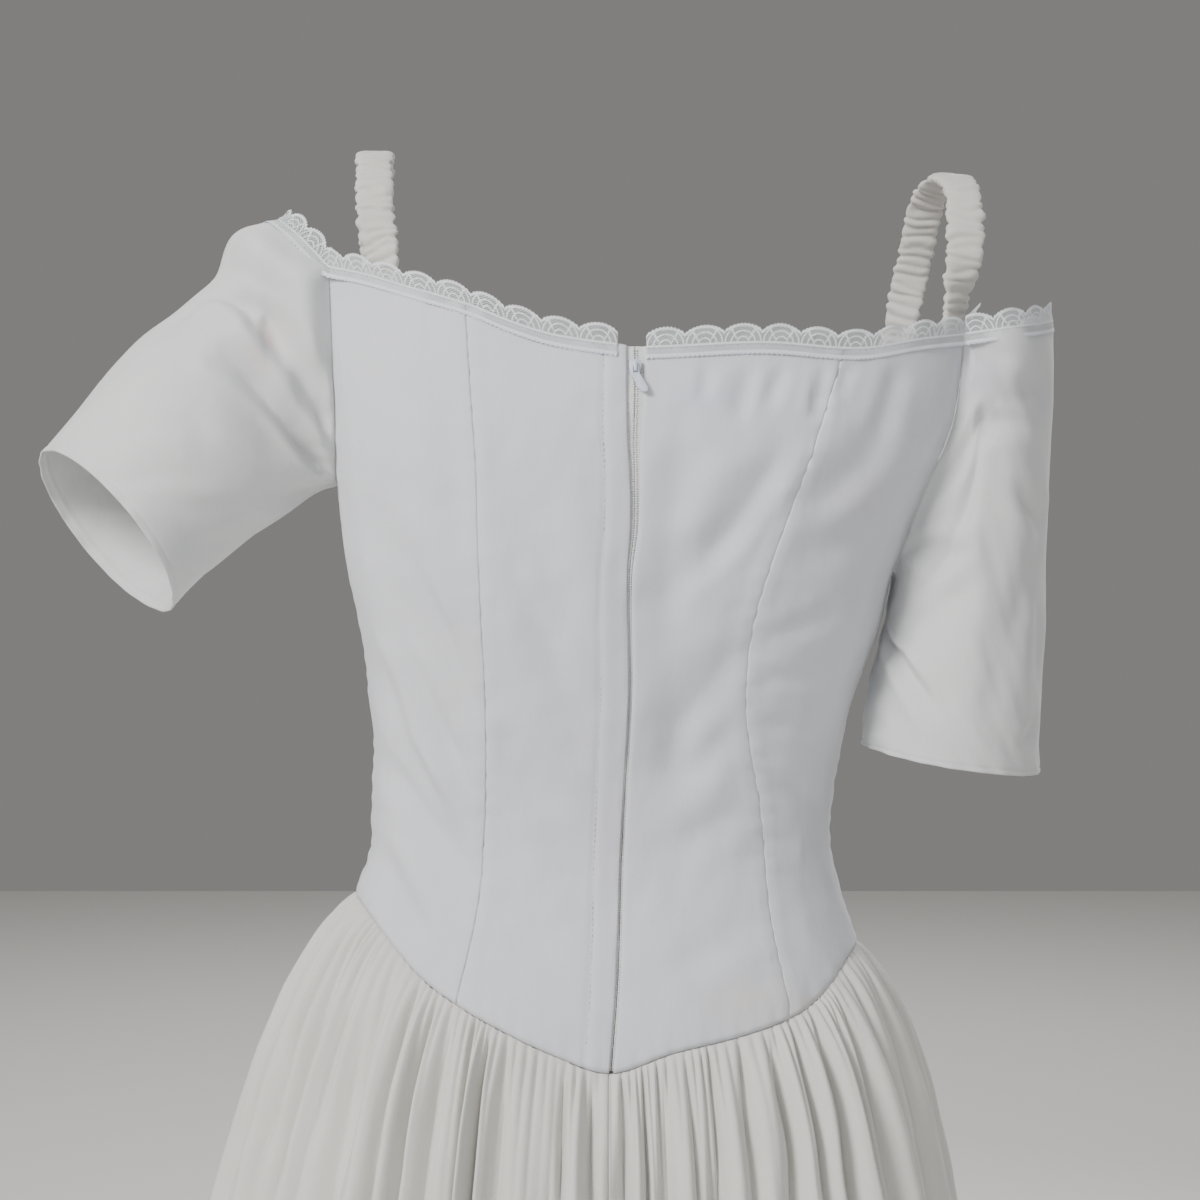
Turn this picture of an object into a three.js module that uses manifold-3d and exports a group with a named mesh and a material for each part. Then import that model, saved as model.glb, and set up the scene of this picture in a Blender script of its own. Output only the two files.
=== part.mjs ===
// A floor-length cotton wedding dress, kept in the form it has when worn: an off-the-shoulder bodice with
// princess seams and a pointed waist, elbow sleeves, ruched shoulder straps, a scalloped lace edging, a
// lapped back zip and a gathered skirt. Every cloth piece is a thin wall round an empty hollow.
// Sizes are in millimetres. +Z is up, +Y is the dress's back and +X is the wearer's left. The origin lies
// between the shoulders, on the line where the straps rest.
import Module from "manifold-3d";
import * as THREE from "three";
import { mergeVertices } from "three/addons/utils/BufferGeometryUtils.js";

const { clamp, lerp, smoothstep } = THREE.MathUtils;
const vec = (x, y, z) => new THREE.Vector3(x, y, z);

// Driving sizes
const CLOTH = 1.6; // wall of a bodice or sleeve piece, measured level on the bodice
const SKIRT_CLOTH = 2; // wall of a skirt piece, measured level through gathers that slope
const SEAM_GAP = 0.34; // between two sewn edges
const WAIST_GAP = 0.5; // between the bodice and the skirt, whose seam slopes
const HEM_Z = -1430; // the skirt's hem, just off the floor under a wearer 1.78 m tall
const ROUNDNESS = 2.3; // of the bodice's sections: 2 is an ellipse

// How fine the walls are
const PANEL_ROWS = 11;
const ARMHOLE_COLUMNS = 5; // of a side panel, along its half of the armhole
const FREE_COLUMNS = 9; // of a sleeve, along its free top edge
const SLEEVE_ROWS = 9;
const COLUMNS_A_GATHER = 4;
const OUT_REACH = 18; // along the waist line to each side, to find the way straight out of the skirt

// For finding places on the bodice's curved face: where to start, how often and how far to step
const NECK_START = -100;
const WAIST_START = -450;
const SEEK_STEPS = 8;
const SETTLE_STEPS = 120;
const SETTLE_SHARE = 0.3;
const SLOPE_TURN = 0.002; // radians
const SLOPE_RISE = 0.5;
const ROUNDING = 1e-6;
const WELD = 1e-4;

// The bodice's form: half widths to the wearer's left and right, and depths to the back and front.
const TORSO = [
  { z: -20, left: 174, right: 200, back: 60, front: 52 },
  { z: -63, left: 168, right: 202, back: 79, front: 78 },
  { z: -107, left: 162, right: 199, back: 91, front: 99 },
  { z: -150, left: 156, right: 189, back: 98, front: 117 },
  { z: -180, left: 152, right: 173, back: 99, front: 126 },
  { z: -227, left: 145.5, right: 152, back: 96, front: 131 },
  { z: -260, left: 138, right: 143.5, back: 90, front: 126 },
  { z: -300, left: 133, right: 129, back: 81, front: 114 },
  { z: -340, left: 132, right: 120.5, back: 73, front: 104 },
  { z: -372, left: 133.5, right: 117.5, back: 70, front: 100 },
  { z: -400, left: 141, right: 123, back: 73, front: 101 },
  { z: -430, left: 152, right: 133, back: 80, front: 105 },
  { z: -460, left: 160, right: 143, back: 88, front: 109 },
  { z: -500, left: 167, right: 152, back: 97, front: 113 },
];
// The fullness that the front princess seams are cut for, on a general figure.
const BUST = { x: 82, z: -228, wide: 44, high: 58, out: 13 };

// The back's largest drag lines, each a soft trough between two places.
const BACK_DRAGS = [
  { fromX: -70, fromZ: -205, toX: -26, toZ: -236, deep: 2.2, wide: 15 },
  { fromX: -30, fromZ: -250, toX: -33, toZ: -328, deep: 3, wide: 14 },
  { fromX: -66, fromZ: -272, toX: -40, toZ: -322, deep: 2.2, wide: 13 },
  { fromX: 116, fromZ: -192, toX: 76, toZ: -292, deep: 2.6, wide: 14 },
  { fromX: 116, fromZ: -324, toX: 82, toZ: -392, deep: 2.4, wide: 13 },
];

// The back princess seams' distances from the middle, and the front ones', which mirror each other.
const BACK_PRINCESS = [
  { z: -90, left: 78, right: -124 },
  { z: -120, left: 76, right: -116 },
  { z: -175, left: 72, right: -98 },
  { z: -220, left: 71, right: -81.5 },
  { z: -256, left: 69.5, right: -71 },
  { z: -300, left: 68, right: -68 },
  { z: -357, left: 68.5, right: -77 },
  { z: -407, left: 73, right: -81.5 },
  { z: -455, left: 84, right: -91 },
];
const FRONT_PRINCESS = [
  { z: -110, off: 98 },
  { z: -180, off: 94 },
  { z: -230, off: 90 },
  { z: -300, off: 74 },
  { z: -372, off: 61 },
  { z: -455, off: 76 },
];

// The back opening: the lap's edge, and how far the other edge stands from it above and over the zip.
const LAP_EDGE = [
  { z: -100, x: -5.6, gap: 8.4 },
  { z: -136, x: -5.6, gap: 8.4 },
  { z: -160, x: -6, gap: 6.4 },
  { z: -176, x: -7.1, gap: 4.8 },
  { z: -204, x: -7.4, gap: 4 },
  { z: -230, x: -5.8, gap: 2.4 },
  { z: -290, x: -6.4, gap: 2 },
  { z: -373, x: -2.2, gap: 2 },
  { z: -440, x: 0, gap: 2 },
  { z: -490, x: 4, gap: 2 },
];

// The neckline's stitch line, along the back and along the front.
const NECK_BACK = [
  { x: -186, z: -107 },
  { x: -163, z: -111 },
  { x: -127, z: -118 },
  { x: -77, z: -116 },
  { x: -16, z: -119 },
  { x: 0, z: -117.5 },
  { x: 32, z: -112.5 },
  { x: 55, z: -105 },
  { x: 77, z: -95.5 },
  { x: 106, z: -86 },
  { x: 135, z: -76 },
  { x: 153, z: -71 },
];
const NECK_FRONT = [
  { x: -183, z: -112 },
  { x: -120, z: -128 },
  { x: -60, z: -143 },
  { x: 0, z: -150 },
  { x: 60, z: -140 },
  { x: 110, z: -116 },
  { x: 150, z: -84 },
];

// The pointed waist seam, the same at the front as at the back.
const WAIST_SEAM = [
  { x: -152, z: -424 },
  { x: -128, z: -431 },
  { x: -110, z: -449 },
  { x: -95, z: -458.5 },
  { x: -66, z: -467.5 },
  { x: -29, z: -475.5 },
  { x: 3, z: -485 },
  { x: 32, z: -476.5 },
  { x: 65, z: -462 },
  { x: 83, z: -452.5 },
  { x: 101, z: -441 },
  { x: 114, z: -429 },
  { x: 130, z: -411.5 },
  { x: 146, z: -398 },
];

// Armholes: the angle of the side seam each is centred on, its corners on the neckline, and its lowest point.
const ARMHOLES = {
  left: { side: 0, backX: 153, frontX: 150, lowest: -178, power: 3.2 },
  right: { side: Math.PI, backX: -186, frontX: -183, lowest: -226, power: 3 },
};

// How far the skirt stands out from the waist seam as it falls, in each of four directions.
const SKIRT_FLARE = [
  { drop: 0, left: 0, right: 0, back: 0, front: 0 },
  { drop: 12, left: 11, right: 8, back: 5, front: 4 },
  { drop: 30, left: 21.5, right: 17, back: 12, front: 9 },
  { drop: 55, left: 33, right: 26, back: 20, front: 15 },
  { drop: 95, left: 47.8, right: 37, back: 31, front: 24 },
  { drop: 172, left: 69.7, right: 52, back: 49, front: 38 },
  { drop: 400, left: 128, right: 98, back: 100, front: 80 },
  { drop: 700, left: 200, right: 158, back: 165, front: 135 },
  { drop: 1000, left: 269, right: 216, back: 229, front: 190 },
];

// The skirt's gathers round the waist, and how they run together two by two into wider pleats and folds as
// the skirt falls: each column is the height of its waves.
const GATHERS = 120;
const GATHERS_TO = { backSeam: 31, rightSide: 60 }; // counted from the left side round the back
const SKIRT_WAVES = [
  { drop: 0, gather: 0.7, pleat: 0, fold: 0 },
  { drop: 8, gather: 1.8, pleat: 0.8, fold: 0.4 },
  { drop: 24, gather: 1.1, pleat: 2.6, fold: 1.4 },
  { drop: 45, gather: 0, pleat: 3.2, fold: 3.4 },
  { drop: 95, gather: 0, pleat: 1.6, fold: 6.5 },
  { drop: 190, gather: 0, pleat: 0, fold: 10 },
  { drop: 380, gather: 0, pleat: 0, fold: 14 },
  { drop: 680, gather: 0, pleat: 0, fold: 18 },
  { drop: 1000, gather: 0, pleat: 0, fold: 21 },
];
// The skirt's rings, and which of its columns each keeps: all, every second or every fourth.
const SKIRT_RINGS = [
  { drop: 0, every: 1 },
  { drop: 8, every: 1 },
  { drop: 24, every: 2 },
  { drop: 45, every: 2 },
  { drop: 95, every: 4 },
  { drop: 190, every: 4 },
  { drop: 380, every: 4 },
  { drop: 680, every: 4 },
  { drop: 1000, every: 4 },
];
// Uneven spacing of the folds along each panel, and uneven depth round the skirt, as slow swings.
const FOLD_SPACING = [
  { times: 2, swing: 0.018, start: 1.3 },
  { times: 5, swing: 0.006, start: 0.4 },
];
const FOLD_DEPTH = [
  { times: 4, swing: 0.24, start: 0.6 },
  { times: 9, swing: 0.22, start: 2.1 },
];
const FOLD_START = 0.9; // radians

// Sleeves: the hem's ring, the way the cloth leaves the armhole (under the arm, behind, above and in front)
// and arrives at the hem, and the free top edge from the front corner over the arm to the back one. A crease
// is a trough between two places, or a ridge where its depth is below 0: "around" runs from 0 under the arm
// through 0.25 behind it to 0.5 above it, and "along" from 0 at the armhole to 1 at the hem.
const SLEEVES = {
  left: {
    hem: { centre: vec(275, 26, -205), toTop: vec(37, -6, 41), toBack: vec(-17, 51, 14) },
    leave: { under: vec(62, 6, -24), back: vec(70, 44, -20), top: vec(96, 0, 8), front: vec(72, -34, -24) },
    arrive: vec(52, 20, -66),
    topEdge: [
      vec(172, -46, -58),
      vec(184, -24, -42),
      vec(187, -4, -34.5),
      vec(182, 13, -36),
      vec(170, 28, -46),
    ],
    round: 330,
    long: 150,
    creases: [
      { fromAround: 0.54, fromAlong: 0.19, toAround: 0.38, toAlong: 0.17, deep: -4, wide: 11 },
      { fromAround: 0.6, fromAlong: 0.34, toAround: 0.3, toAlong: 0.27, deep: 10, wide: 12 },
      { fromAround: 0.56, fromAlong: 0.43, toAround: 0.44, toAlong: 0.43, deep: 8, wide: 15 },
      { fromAround: 0.3, fromAlong: 0.26, toAround: 0.1, toAlong: 0.08, deep: 5, wide: 10 },
      { fromAround: 0.4, fromAlong: 0.46, toAround: 0.04, toAlong: 0.2, deep: 5, wide: 12 },
      { fromAround: 0.7, fromAlong: 0.3, toAround: 0.92, toAlong: 0.16, deep: 4, wide: 12 },
    ],
  },
  right: {
    hem: { centre: vec(-184.5, 2, -328), toTop: vec(-48.5, 0, -7), toBack: vec(0, 58, -4) },
    leave: {
      under: vec(-6, 0, -46),
      back: vec(-44, 30, -70),
      top: vec(-14, 0, -96),
      front: vec(-40, -30, -70),
    },
    arrive: vec(-8, 0, -70),
    topEdge: [
      vec(-212, -50, -99),
      vec(-232, -26, -93),
      vec(-240, 0, -88),
      vec(-230, 24, -92),
      vec(-210, 42, -96),
    ],
    round: 330,
    long: 235,
    creases: [
      { fromAround: 0.42, fromAlong: 0.2, toAround: 0.2, toAlong: 0.32, deep: 4, wide: 11 },
      { fromAround: 0.16, fromAlong: 0.42, toAround: 0.34, toAlong: 0.56, deep: 3, wide: 12 },
      { fromAround: 0.42, fromAlong: 0.5, toAround: 0.36, toAlong: 0.62, deep: 4, wide: 10 },
      { fromAround: 0.62, fromAlong: 0.25, toAround: 0.86, toAlong: 0.42, deep: 4, wide: 12 },
    ],
  },
};
const ARMHOLE_SHARE = 0.6; // of a sleeve's upper ring, the rest being its free top edge
const SLEEVE_OFF = 0.3; // from the bodice's face, and from its edge
const SLEEVE_SLOPE = { around: 0.01, along: 0.02 }; // how far to step, to find a sleeve's slope
const CREASE_START = 0.12; // share of a sleeve's length over which its creases rise

// Lace
const LACE_WALL = 1;
const LACE_ON_CLOTH = 7.5; // the heading, which lies on the cloth below the neckline's edge
const LACE_FREE = 10; // from that edge to a scallop's tip
const LACE_DIP = 4; // how far the lace falls between two scallops
const LACE_LIFT = 0.75; // from the cloth to the lace
const LACE_CORNER = { lift: 1, wide: 14 }; // extra lift where it crosses an armhole's corner
const LACE_STAND = 0.6; // how strongly the lace stands up where the cloth lies level
const LACE_LIE = 0.06; // share of a sleeve's length over which the way the cloth lies is read
const LACE_STATIONS = { back: 30, sleeve: 24, front: 70 }; // places along each stretch of the neckline
const LACE_STEPS = 3; // columns a scallop
const LACE_SMOOTH = 3; // neighbours on each side that its directions are averaged over
const LACE_ENDS = { left: -1, right: -15.5 }; // distances from the middle, at the zip
const SCALLOP = 20; // one scallop along the neckline

// Straps: places sewn to the inside of the bodice, at the back and the front, and the line over the shoulder
// between them. "off" is how far the strap stands away from the wall there.
const STRAPS = {
  left: {
    back: [
      { x: 125, z: -96, off: 0 },
      { x: 126, z: -80, off: 0.4 },
      { x: 126.5, z: -62, off: 2.5 },
    ],
    over: [vec(128, 43, -36), vec(130, 26, -10), vec(132, 0, 1.5), vec(134, -26, -8), vec(135, -42, -34)],
    front: [
      { x: 135, z: -68, off: 3 },
      { x: 135, z: -92, off: 0.8 },
      { x: 134, z: -116, off: 0 },
    ],
  },
  right: {
    back: [
      { x: -183, z: -122, off: 0 },
      { x: -185, z: -106, off: 0.5 },
      { x: -188.5, z: -84, off: 3 },
    ],
    over: [
      vec(-187, 37, -56),
      vec(-188, 31, -35),
      vec(-187, 20, -18),
      vec(-182, 2, -11),
      vec(-175, -22, -19),
      vec(-170, -40, -48),
    ],
    front: [
      { x: -167, z: -84, off: 4 },
      { x: -164, z: -112, off: 1.2 },
      { x: -161, z: -134, off: 0.2 },
    ],
  },
};
const STRAP = { wide: 19, thick: 4.2, flat: 0.75, clear: 0.7 }; // flat is the level share of its width
const RUCHES = { count: 26, rise: 0.7, narrow: 0.8 };
const STRAP_END = { plain: 0.1, thin: 0.5 }; // share of its length without ruches, and share of its thickness

// Zip: two tapes, each with its row of teeth as a ridge beside the middle
const ZIP = { tapeWide: 12, tapeThick: 1, behind: 0.45, middleGap: 0.2, bottom: -474 };
const TEETH = { wide: 1.1, high: 1 };
const ZIP_GAP = { hidden: 3, open: 5 }; // the ridge rises where the opening is wider than this
// The slider, the crown on it and the pull that swings in the crown
const SLIDER = { wide: 6.2, foot: 3.6, long: 9.8, thick: 2.5, top: -118.5, proud: 1.85 };
const SLIDER_WIDEST = { from: 0.12, to: 0.45 }; // shares of its length
const CROWN = { wide: 1.5, long: 5, wall: 0.8, room: 1.7, above: 0.5 };
const PULL = { pin: 0.42, pinSides: 10, eyeWide: 2.3, arm: 0.8, eyeLong: 3.3, wide: 5, long: 9.8, thick: 1 };
const PULL_WIDEST = { from: 0.4, to: 0.8 }; // shares of its length
const PULL_LEAN = 0.5; // how far the pull leans aside for each millimetre of its length
const SINK = 0.4; // how deep a joined piece of the slider or the pull reaches into the next

// Tables and curves

// One column of a table as a smooth function of its key column, level beyond both ends.
function smoothColumn(rows, key, name) {
  const last = rows.length - 1;
  const rising = Math.sign(rows[last][key] - rows[0][key]);
  const slope = (i) => {
    const before = rows[Math.max(i - 1, 0)];
    const after = rows[Math.min(i + 1, last)];
    return (after[name] - before[name]) / (after[key] - before[key]);
  };
  return (at) => {
    let i = 0;
    while (i < last - 1 && rising * at > rising * rows[i + 1][key]) i += 1;
    const span = rows[i + 1][key] - rows[i][key];
    const t = clamp((at - rows[i][key]) / span, 0, 1);
    const [t2, t3] = [t * t, t * t * t];
    return (
      (2 * t3 - 3 * t2 + 1) * rows[i][name] +
      (t3 - 2 * t2 + t) * span * slope(i) +
      (3 * t2 - 2 * t3) * rows[i + 1][name] +
      (t3 - t2) * span * slope(i + 1)
    );
  };
}

// Every column of a table, as smooth functions by name.
function smoothTable(rows, key) {
  const names = Object.keys(rows[0]).filter((name) => name !== key);
  return Object.fromEntries(names.map((name) => [name, smoothColumn(rows, key, name)]));
}

const torso = smoothTable(TORSO, "z");
const backPrincess = smoothTable(BACK_PRINCESS, "z");
const frontPrincess = smoothTable(FRONT_PRINCESS, "z");
const lapEdge = smoothTable(LAP_EDGE, "z");
const neckBack = smoothTable(NECK_BACK, "x");
const neckFront = smoothTable(NECK_FRONT, "x");
const waistSeam = smoothTable(WAIST_SEAM, "x");
const flare = smoothTable(SKIRT_FLARE, "drop");
const waves = smoothTable(SKIRT_WAVES, "drop");

// How far a plane point lies from the stretch between two others.
function distanceToStretch(x, y, ax, ay, bx, by) {
  const [dx, dy] = [bx - ax, by - ay];
  const t = clamp(((x - ax) * dx + (y - ay) * dy) / (dx * dx + dy * dy), 0, 1);
  return Math.hypot(x - ax - t * dx, y - ay - t * dy);
}

const bump = (distance, wide) => Math.exp(-((distance / wide) ** 2));

// The body form

const signedPower = (value, power) => Math.sign(value) * Math.abs(value) ** power;

// How far the back's drag lines draw the cloth in at a place.
function backDrag(x, z) {
  const depths = BACK_DRAGS.map((drag) => {
    const distance = distanceToStretch(x, z, drag.fromX, drag.fromZ, drag.toX, drag.toZ);
    return drag.deep * bump(distance, drag.wide);
  });
  return depths.reduce((sum, depth) => sum + depth, 0);
}

// A point of the bodice's outer face, at an angle round the body and a height.
function torsoPoint(theta, z) {
  const [c, s] = [Math.cos(theta), Math.sin(theta)];
  const wide = c > 0 ? torso.left(z) : torso.right(z);
  const deep = s > 0 ? torso.back(z) : torso.front(z);
  const x = wide * signedPower(c, 2 / ROUNDNESS);
  let y = deep * signedPower(s, 2 / ROUNDNESS);
  if (s > 0) y -= backDrag(x, z) * s;
  if (s < 0) y += BUST.out * bump(Math.abs(x) - BUST.x, BUST.wide) * bump(z - BUST.z, BUST.high) * s;
  return vec(x, y, z);
}

function torsoNormal(theta, z) {
  const along = torsoPoint(theta + SLOPE_TURN, z).sub(torsoPoint(theta - SLOPE_TURN, z));
  const up = torsoPoint(theta, z + SLOPE_RISE).sub(torsoPoint(theta, z - SLOPE_RISE));
  return along.cross(up).normalize();
}

// The angle at which the back (facing 1) or the front (facing -1) lies at a distance x from the middle.
function angleAt(x, z, facing) {
  const wide = x > 0 ? torso.left(z) : torso.right(z);
  return facing * Math.acos(signedPower(clamp(x / wide, -1, 1), ROUNDNESS / 2));
}

// Height of the bodice's edge on the neckline, at an angle.
function necklineZ(theta) {
  const neck = Math.sin(theta) > 0 ? neckBack : neckFront;
  let z = NECK_START;
  for (let i = 0; i < SEEK_STEPS; i += 1) z = neck.z(torsoPoint(theta, z).x) + LACE_ON_CLOTH;
  return z;
}

function waistZ(theta) {
  let z = WAIST_START;
  for (let i = 0; i < SEEK_STEPS; i += 1) z = waistSeam.z(torsoPoint(theta, z).x);
  return z;
}

// Where an armhole meets the neckline at the back or the front, as an angle and a height.
function armholeCorner(x, facing) {
  let z = NECK_START;
  for (let i = 0; i < SEEK_STEPS; i += 1) z = necklineZ(angleAt(x, z, facing));
  return { theta: angleAt(x, z, facing), z };
}

const CORNERS = Object.fromEntries(
  Object.entries(ARMHOLES).map(([which, armhole]) => [
    which,
    { back: armholeCorner(armhole.backX, 1), front: armholeCorner(armhole.frontX, -1) },
  ]),
);

// Height of an armhole's edge at an angle between its side seam and one of its corners.
function armholeZ(which, corner, theta) {
  const { side, lowest, power } = ARMHOLES[which];
  const seam = side * Math.sign(corner.theta);
  const share = clamp((theta - seam) / (corner.theta - seam), 0, 1);
  return lerp(lowest, corner.z, share ** power);
}

// Walls

// A mesh of a wall between two faces. Each face is a list of rows of points, and a row may have half as many
// steps as the one before it. A closed wall joins each row's last point to its first.
function wallMesh(name, wall, closed, material) {
  const positions = [];
  const index = [];
  const place = (rows) =>
    rows.map((row) => row.map((p) => positions.push(p.x, p.y, p.z) / 3 - 1));
  const outer = place(wall.outer);
  const inner = place(wall.inner);
  const at = (row, i) => row[closed ? i % row.length : i];
  const steps = (row) => (closed ? row.length : row.length - 1);
  const tri = (turned, a, b, c) => (turned ? index.push(a, c, b) : index.push(a, b, c));
  const band = (turned, a, b) => {
    const ratio = steps(a) / steps(b);
    for (let i = 0; i < steps(b); i += 1) {
      const over = (k) => at(a, i * ratio + k);
      tri(turned, over(0), at(b, i), over(1));
      tri(turned, over(1), at(b, i), at(b, i + 1));
      if (ratio === 2) tri(turned, over(1), at(b, i + 1), over(2));
    }
  };
  for (let r = 0; r + 1 < outer.length; r += 1) {
    band(false, outer[r], outer[r + 1]);
    band(true, inner[r], inner[r + 1]);
  }
  band(true, outer[0], inner[0]);
  band(false, outer.at(-1), inner.at(-1));
  const ends = closed ? [] : [0, -1];
  for (const end of ends) {
    const side = (rows) => rows.map((row) => row.at(end));
    const [a, b] = [side(outer), side(inner)];
    for (let r = 0; r + 1 < a.length; r += 1) {
      tri(end === 0, a[r], a[r + 1], b[r]);
      tri(end === 0, b[r], a[r + 1], b[r + 1]);
    }
  }
  const geometry = new THREE.BufferGeometry();
  geometry.setAttribute("position", new THREE.Float32BufferAttribute(positions, 3));
  geometry.setIndex(index);
  geometry.computeVertexNormals();
  return namedMesh(name, geometry, material);
}

function namedMesh(name, geometry, material) {
  const mesh = new THREE.Mesh(geometry, material);
  mesh.name = name;
  return mesh;
}

// Materials

const bodiceCotton = new THREE.MeshStandardMaterial({ color: 0xdcdcdb, roughness: 0.82 });
const skirtCotton = new THREE.MeshStandardMaterial({ color: 0xdcd8cd, roughness: 0.86 });
const sleeveCotton = new THREE.MeshStandardMaterial({ color: 0xd9d8d5, roughness: 0.82 });
const strapCotton = new THREE.MeshStandardMaterial({ color: 0xdcd6cb, roughness: 0.84 });
const laceNet = new THREE.MeshStandardMaterial({ color: 0xe2e4e6, roughness: 0.75 });
const zipTape = new THREE.MeshStandardMaterial({ color: 0xe3e3e2, roughness: 0.7 });
const zipMetal = new THREE.MeshStandardMaterial({ color: 0xccd3df, roughness: 0.4, metalness: 0.3 });

// Bodice

// Seams, as functions from height to angle
const leftSide = () => 0;
const rightSide = () => Math.PI;
const rightSideInFront = () => -Math.PI;
const backSeamLeft = (z) => angleAt(backPrincess.left(z), z, 1);
const backSeamRight = (z) => angleAt(backPrincess.right(z), z, 1);
const frontSeamLeft = (z) => angleAt(frontPrincess.off(z), z, -1);
const frontSeamRight = (z) => angleAt(-frontPrincess.off(z), z, -1);
const lapSeam = (z) => angleAt(lapEdge.x(z), z, 1);
const underSeam = (z) => angleAt(lapEdge.x(z) - lapEdge.gap(z), z, 1);

// The bodice's panels in order of angle, from the left side seam through the back to the front. A side panel
// has one side of an armhole at its side seam.
const PANELS = [
  { name: "side_back_left", from: leftSide, to: backSeamLeft, columns: 3, armhole: ["left", "back"] },
  { name: "centre_back_left", from: backSeamLeft, to: lapSeam, columns: 5 },
  { name: "centre_back_right", from: underSeam, to: backSeamRight, columns: 5 },
  { name: "side_back_right", from: backSeamRight, to: rightSide, columns: 3, armhole: ["right", "back"] },
  {
    name: "side_front_right",
    from: rightSideInFront,
    to: frontSeamRight,
    columns: 3,
    armhole: ["right", "front"],
  },
  { name: "centre_front", from: frontSeamRight, to: frontSeamLeft, columns: 8 },
  { name: "side_front_left", from: frontSeamLeft, to: leftSide, columns: 3, armhole: ["left", "front"] },
];

// Shares of a panel's width at which its columns stand, with one at the armhole's corner.
function panelStops({ from, to, columns, armhole }) {
  const even = (start, end, count) => Array.from({ length: count }, (_, i) => lerp(start, end, i / count));
  if (!armhole) return [...even(0, 1, columns), 1];
  const corner = CORNERS[armhole[0]][armhole[1]];
  const share = (corner.theta - from(corner.z)) / (to(corner.z) - from(corner.z));
  const armholeFirst = from === leftSide || from === rightSideInFront;
  const [first, second] = armholeFirst ? [ARMHOLE_COLUMNS, columns] : [columns, ARMHOLE_COLUMNS];
  return [...even(0, share, first), ...even(share, 1, second), 1];
}

// The height of a panel's upper edge: the neckline, or the armhole beyond its corner.
function upperZ({ armhole }, theta) {
  if (!armhole) return necklineZ(theta);
  const corner = CORNERS[armhole[0]][armhole[1]];
  const side = ARMHOLES[armhole[0]].side;
  const beyond = Math.abs(Math.abs(theta) - side) < Math.abs(Math.abs(corner.theta) - side);
  return beyond ? armholeZ(armhole[0], corner, theta) : necklineZ(theta);
}

// A panel's two faces, and the angle and height of each of its points.
function panelWall(panel) {
  const angle = (across, z) => {
    const [start, end] = [panel.from(z), panel.to(z)];
    const reach = (end - start) / torsoPoint(start, z).distanceTo(torsoPoint(end, z));
    const inset = (SEAM_GAP / 2) * reach;
    return lerp(start + inset, end - inset, across);
  };
  const settle = (across, z, edge) => {
    let height = z;
    for (let i = 0; i < SETTLE_STEPS; i += 1) {
      height = lerp(height, edge(angle(across, height)), SETTLE_SHARE);
    }
    return height;
  };
  const columns = panelStops(panel).map((across) => {
    const top = settle(across, NECK_START, (theta) => upperZ(panel, theta)) - SEAM_GAP / 2;
    const bottom = settle(across, WAIST_START, waistZ) + SEAM_GAP / 2;
    return { across, top, bottom };
  });
  const places = Array.from({ length: PANEL_ROWS + 1 }, (_, r) =>
    columns.map(({ across, top, bottom }) => {
      const z = lerp(top, bottom, r / PANEL_ROWS);
      return { theta: angle(across, z), z };
    }),
  );
  const face = (depth) =>
    places.map((row) =>
      row.map(({ theta, z }) => {
        const level = torsoNormal(theta, z).setZ(0).normalize();
        return torsoPoint(theta, z).addScaledVector(level, -depth);
      }),
    );
  return { places, outer: face(0), inner: face(CLOTH) };
}

const panelWalls = Object.fromEntries(PANELS.map((panel) => [panel.name, panelWall(panel)]));
const bodice = PANELS.map(({ name }) => wallMesh(name, panelWalls[name], false, bodiceCotton));

// Skirt

// The bodice's lower edge as one closed line, which the skirt hangs from.
const waistLine = PANELS.flatMap(({ name }) => panelWalls[name].outer.at(-1));

// A line of points with the distance along it, so that any share of a stretch can be found.
function measuredLine(points) {
  const lengths = [0];
  for (let i = 1; i < points.length; i += 1) {
    lengths.push(lengths[i - 1] + points[i].distanceTo(points[i - 1]));
  }
  const at = (distance) => {
    const reach = clamp(distance, 0, lengths.at(-1));
    const i = clamp(lengths.findIndex((length) => length >= reach), 1, points.length - 1);
    return points[i - 1].clone().lerp(points[i], (reach - lengths[i - 1]) / (lengths[i] - lengths[i - 1]));
  };
  return { at, length: lengths.at(-1) };
}

// The direction straight out of the skirt at a place on the waist line, from its neighbours on both sides.
function skirtOut(line, distance) {
  const wrap = (value) => (value + line.length) % line.length;
  const along = line.at(wrap(distance + OUT_REACH)).sub(line.at(wrap(distance - OUT_REACH)));
  return vec(along.y, -along.x, 0).normalize();
}

const swings = (table, share) =>
  table.reduce((sum, { times, swing, start }) => {
    const phase = (turn) => Math.sin(2 * Math.PI * times * turn + start);
    return sum + swing * (phase(share) - phase(0));
  }, 0);

// Height of the skirt's waves above its base at a gather's number and a drop.
function skirtWave(gather, drop) {
  const turn = 2 * Math.PI * gather;
  const depth = 1 + swings(FOLD_DEPTH, gather / GATHERS);
  return (
    -waves.gather(drop) * Math.cos(turn) -
    waves.pleat(drop) * Math.cos(turn / 2) * (2 - depth) -
    waves.fold(drop) * Math.cos(turn / 4 + FOLD_START) * depth
  );
}

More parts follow.
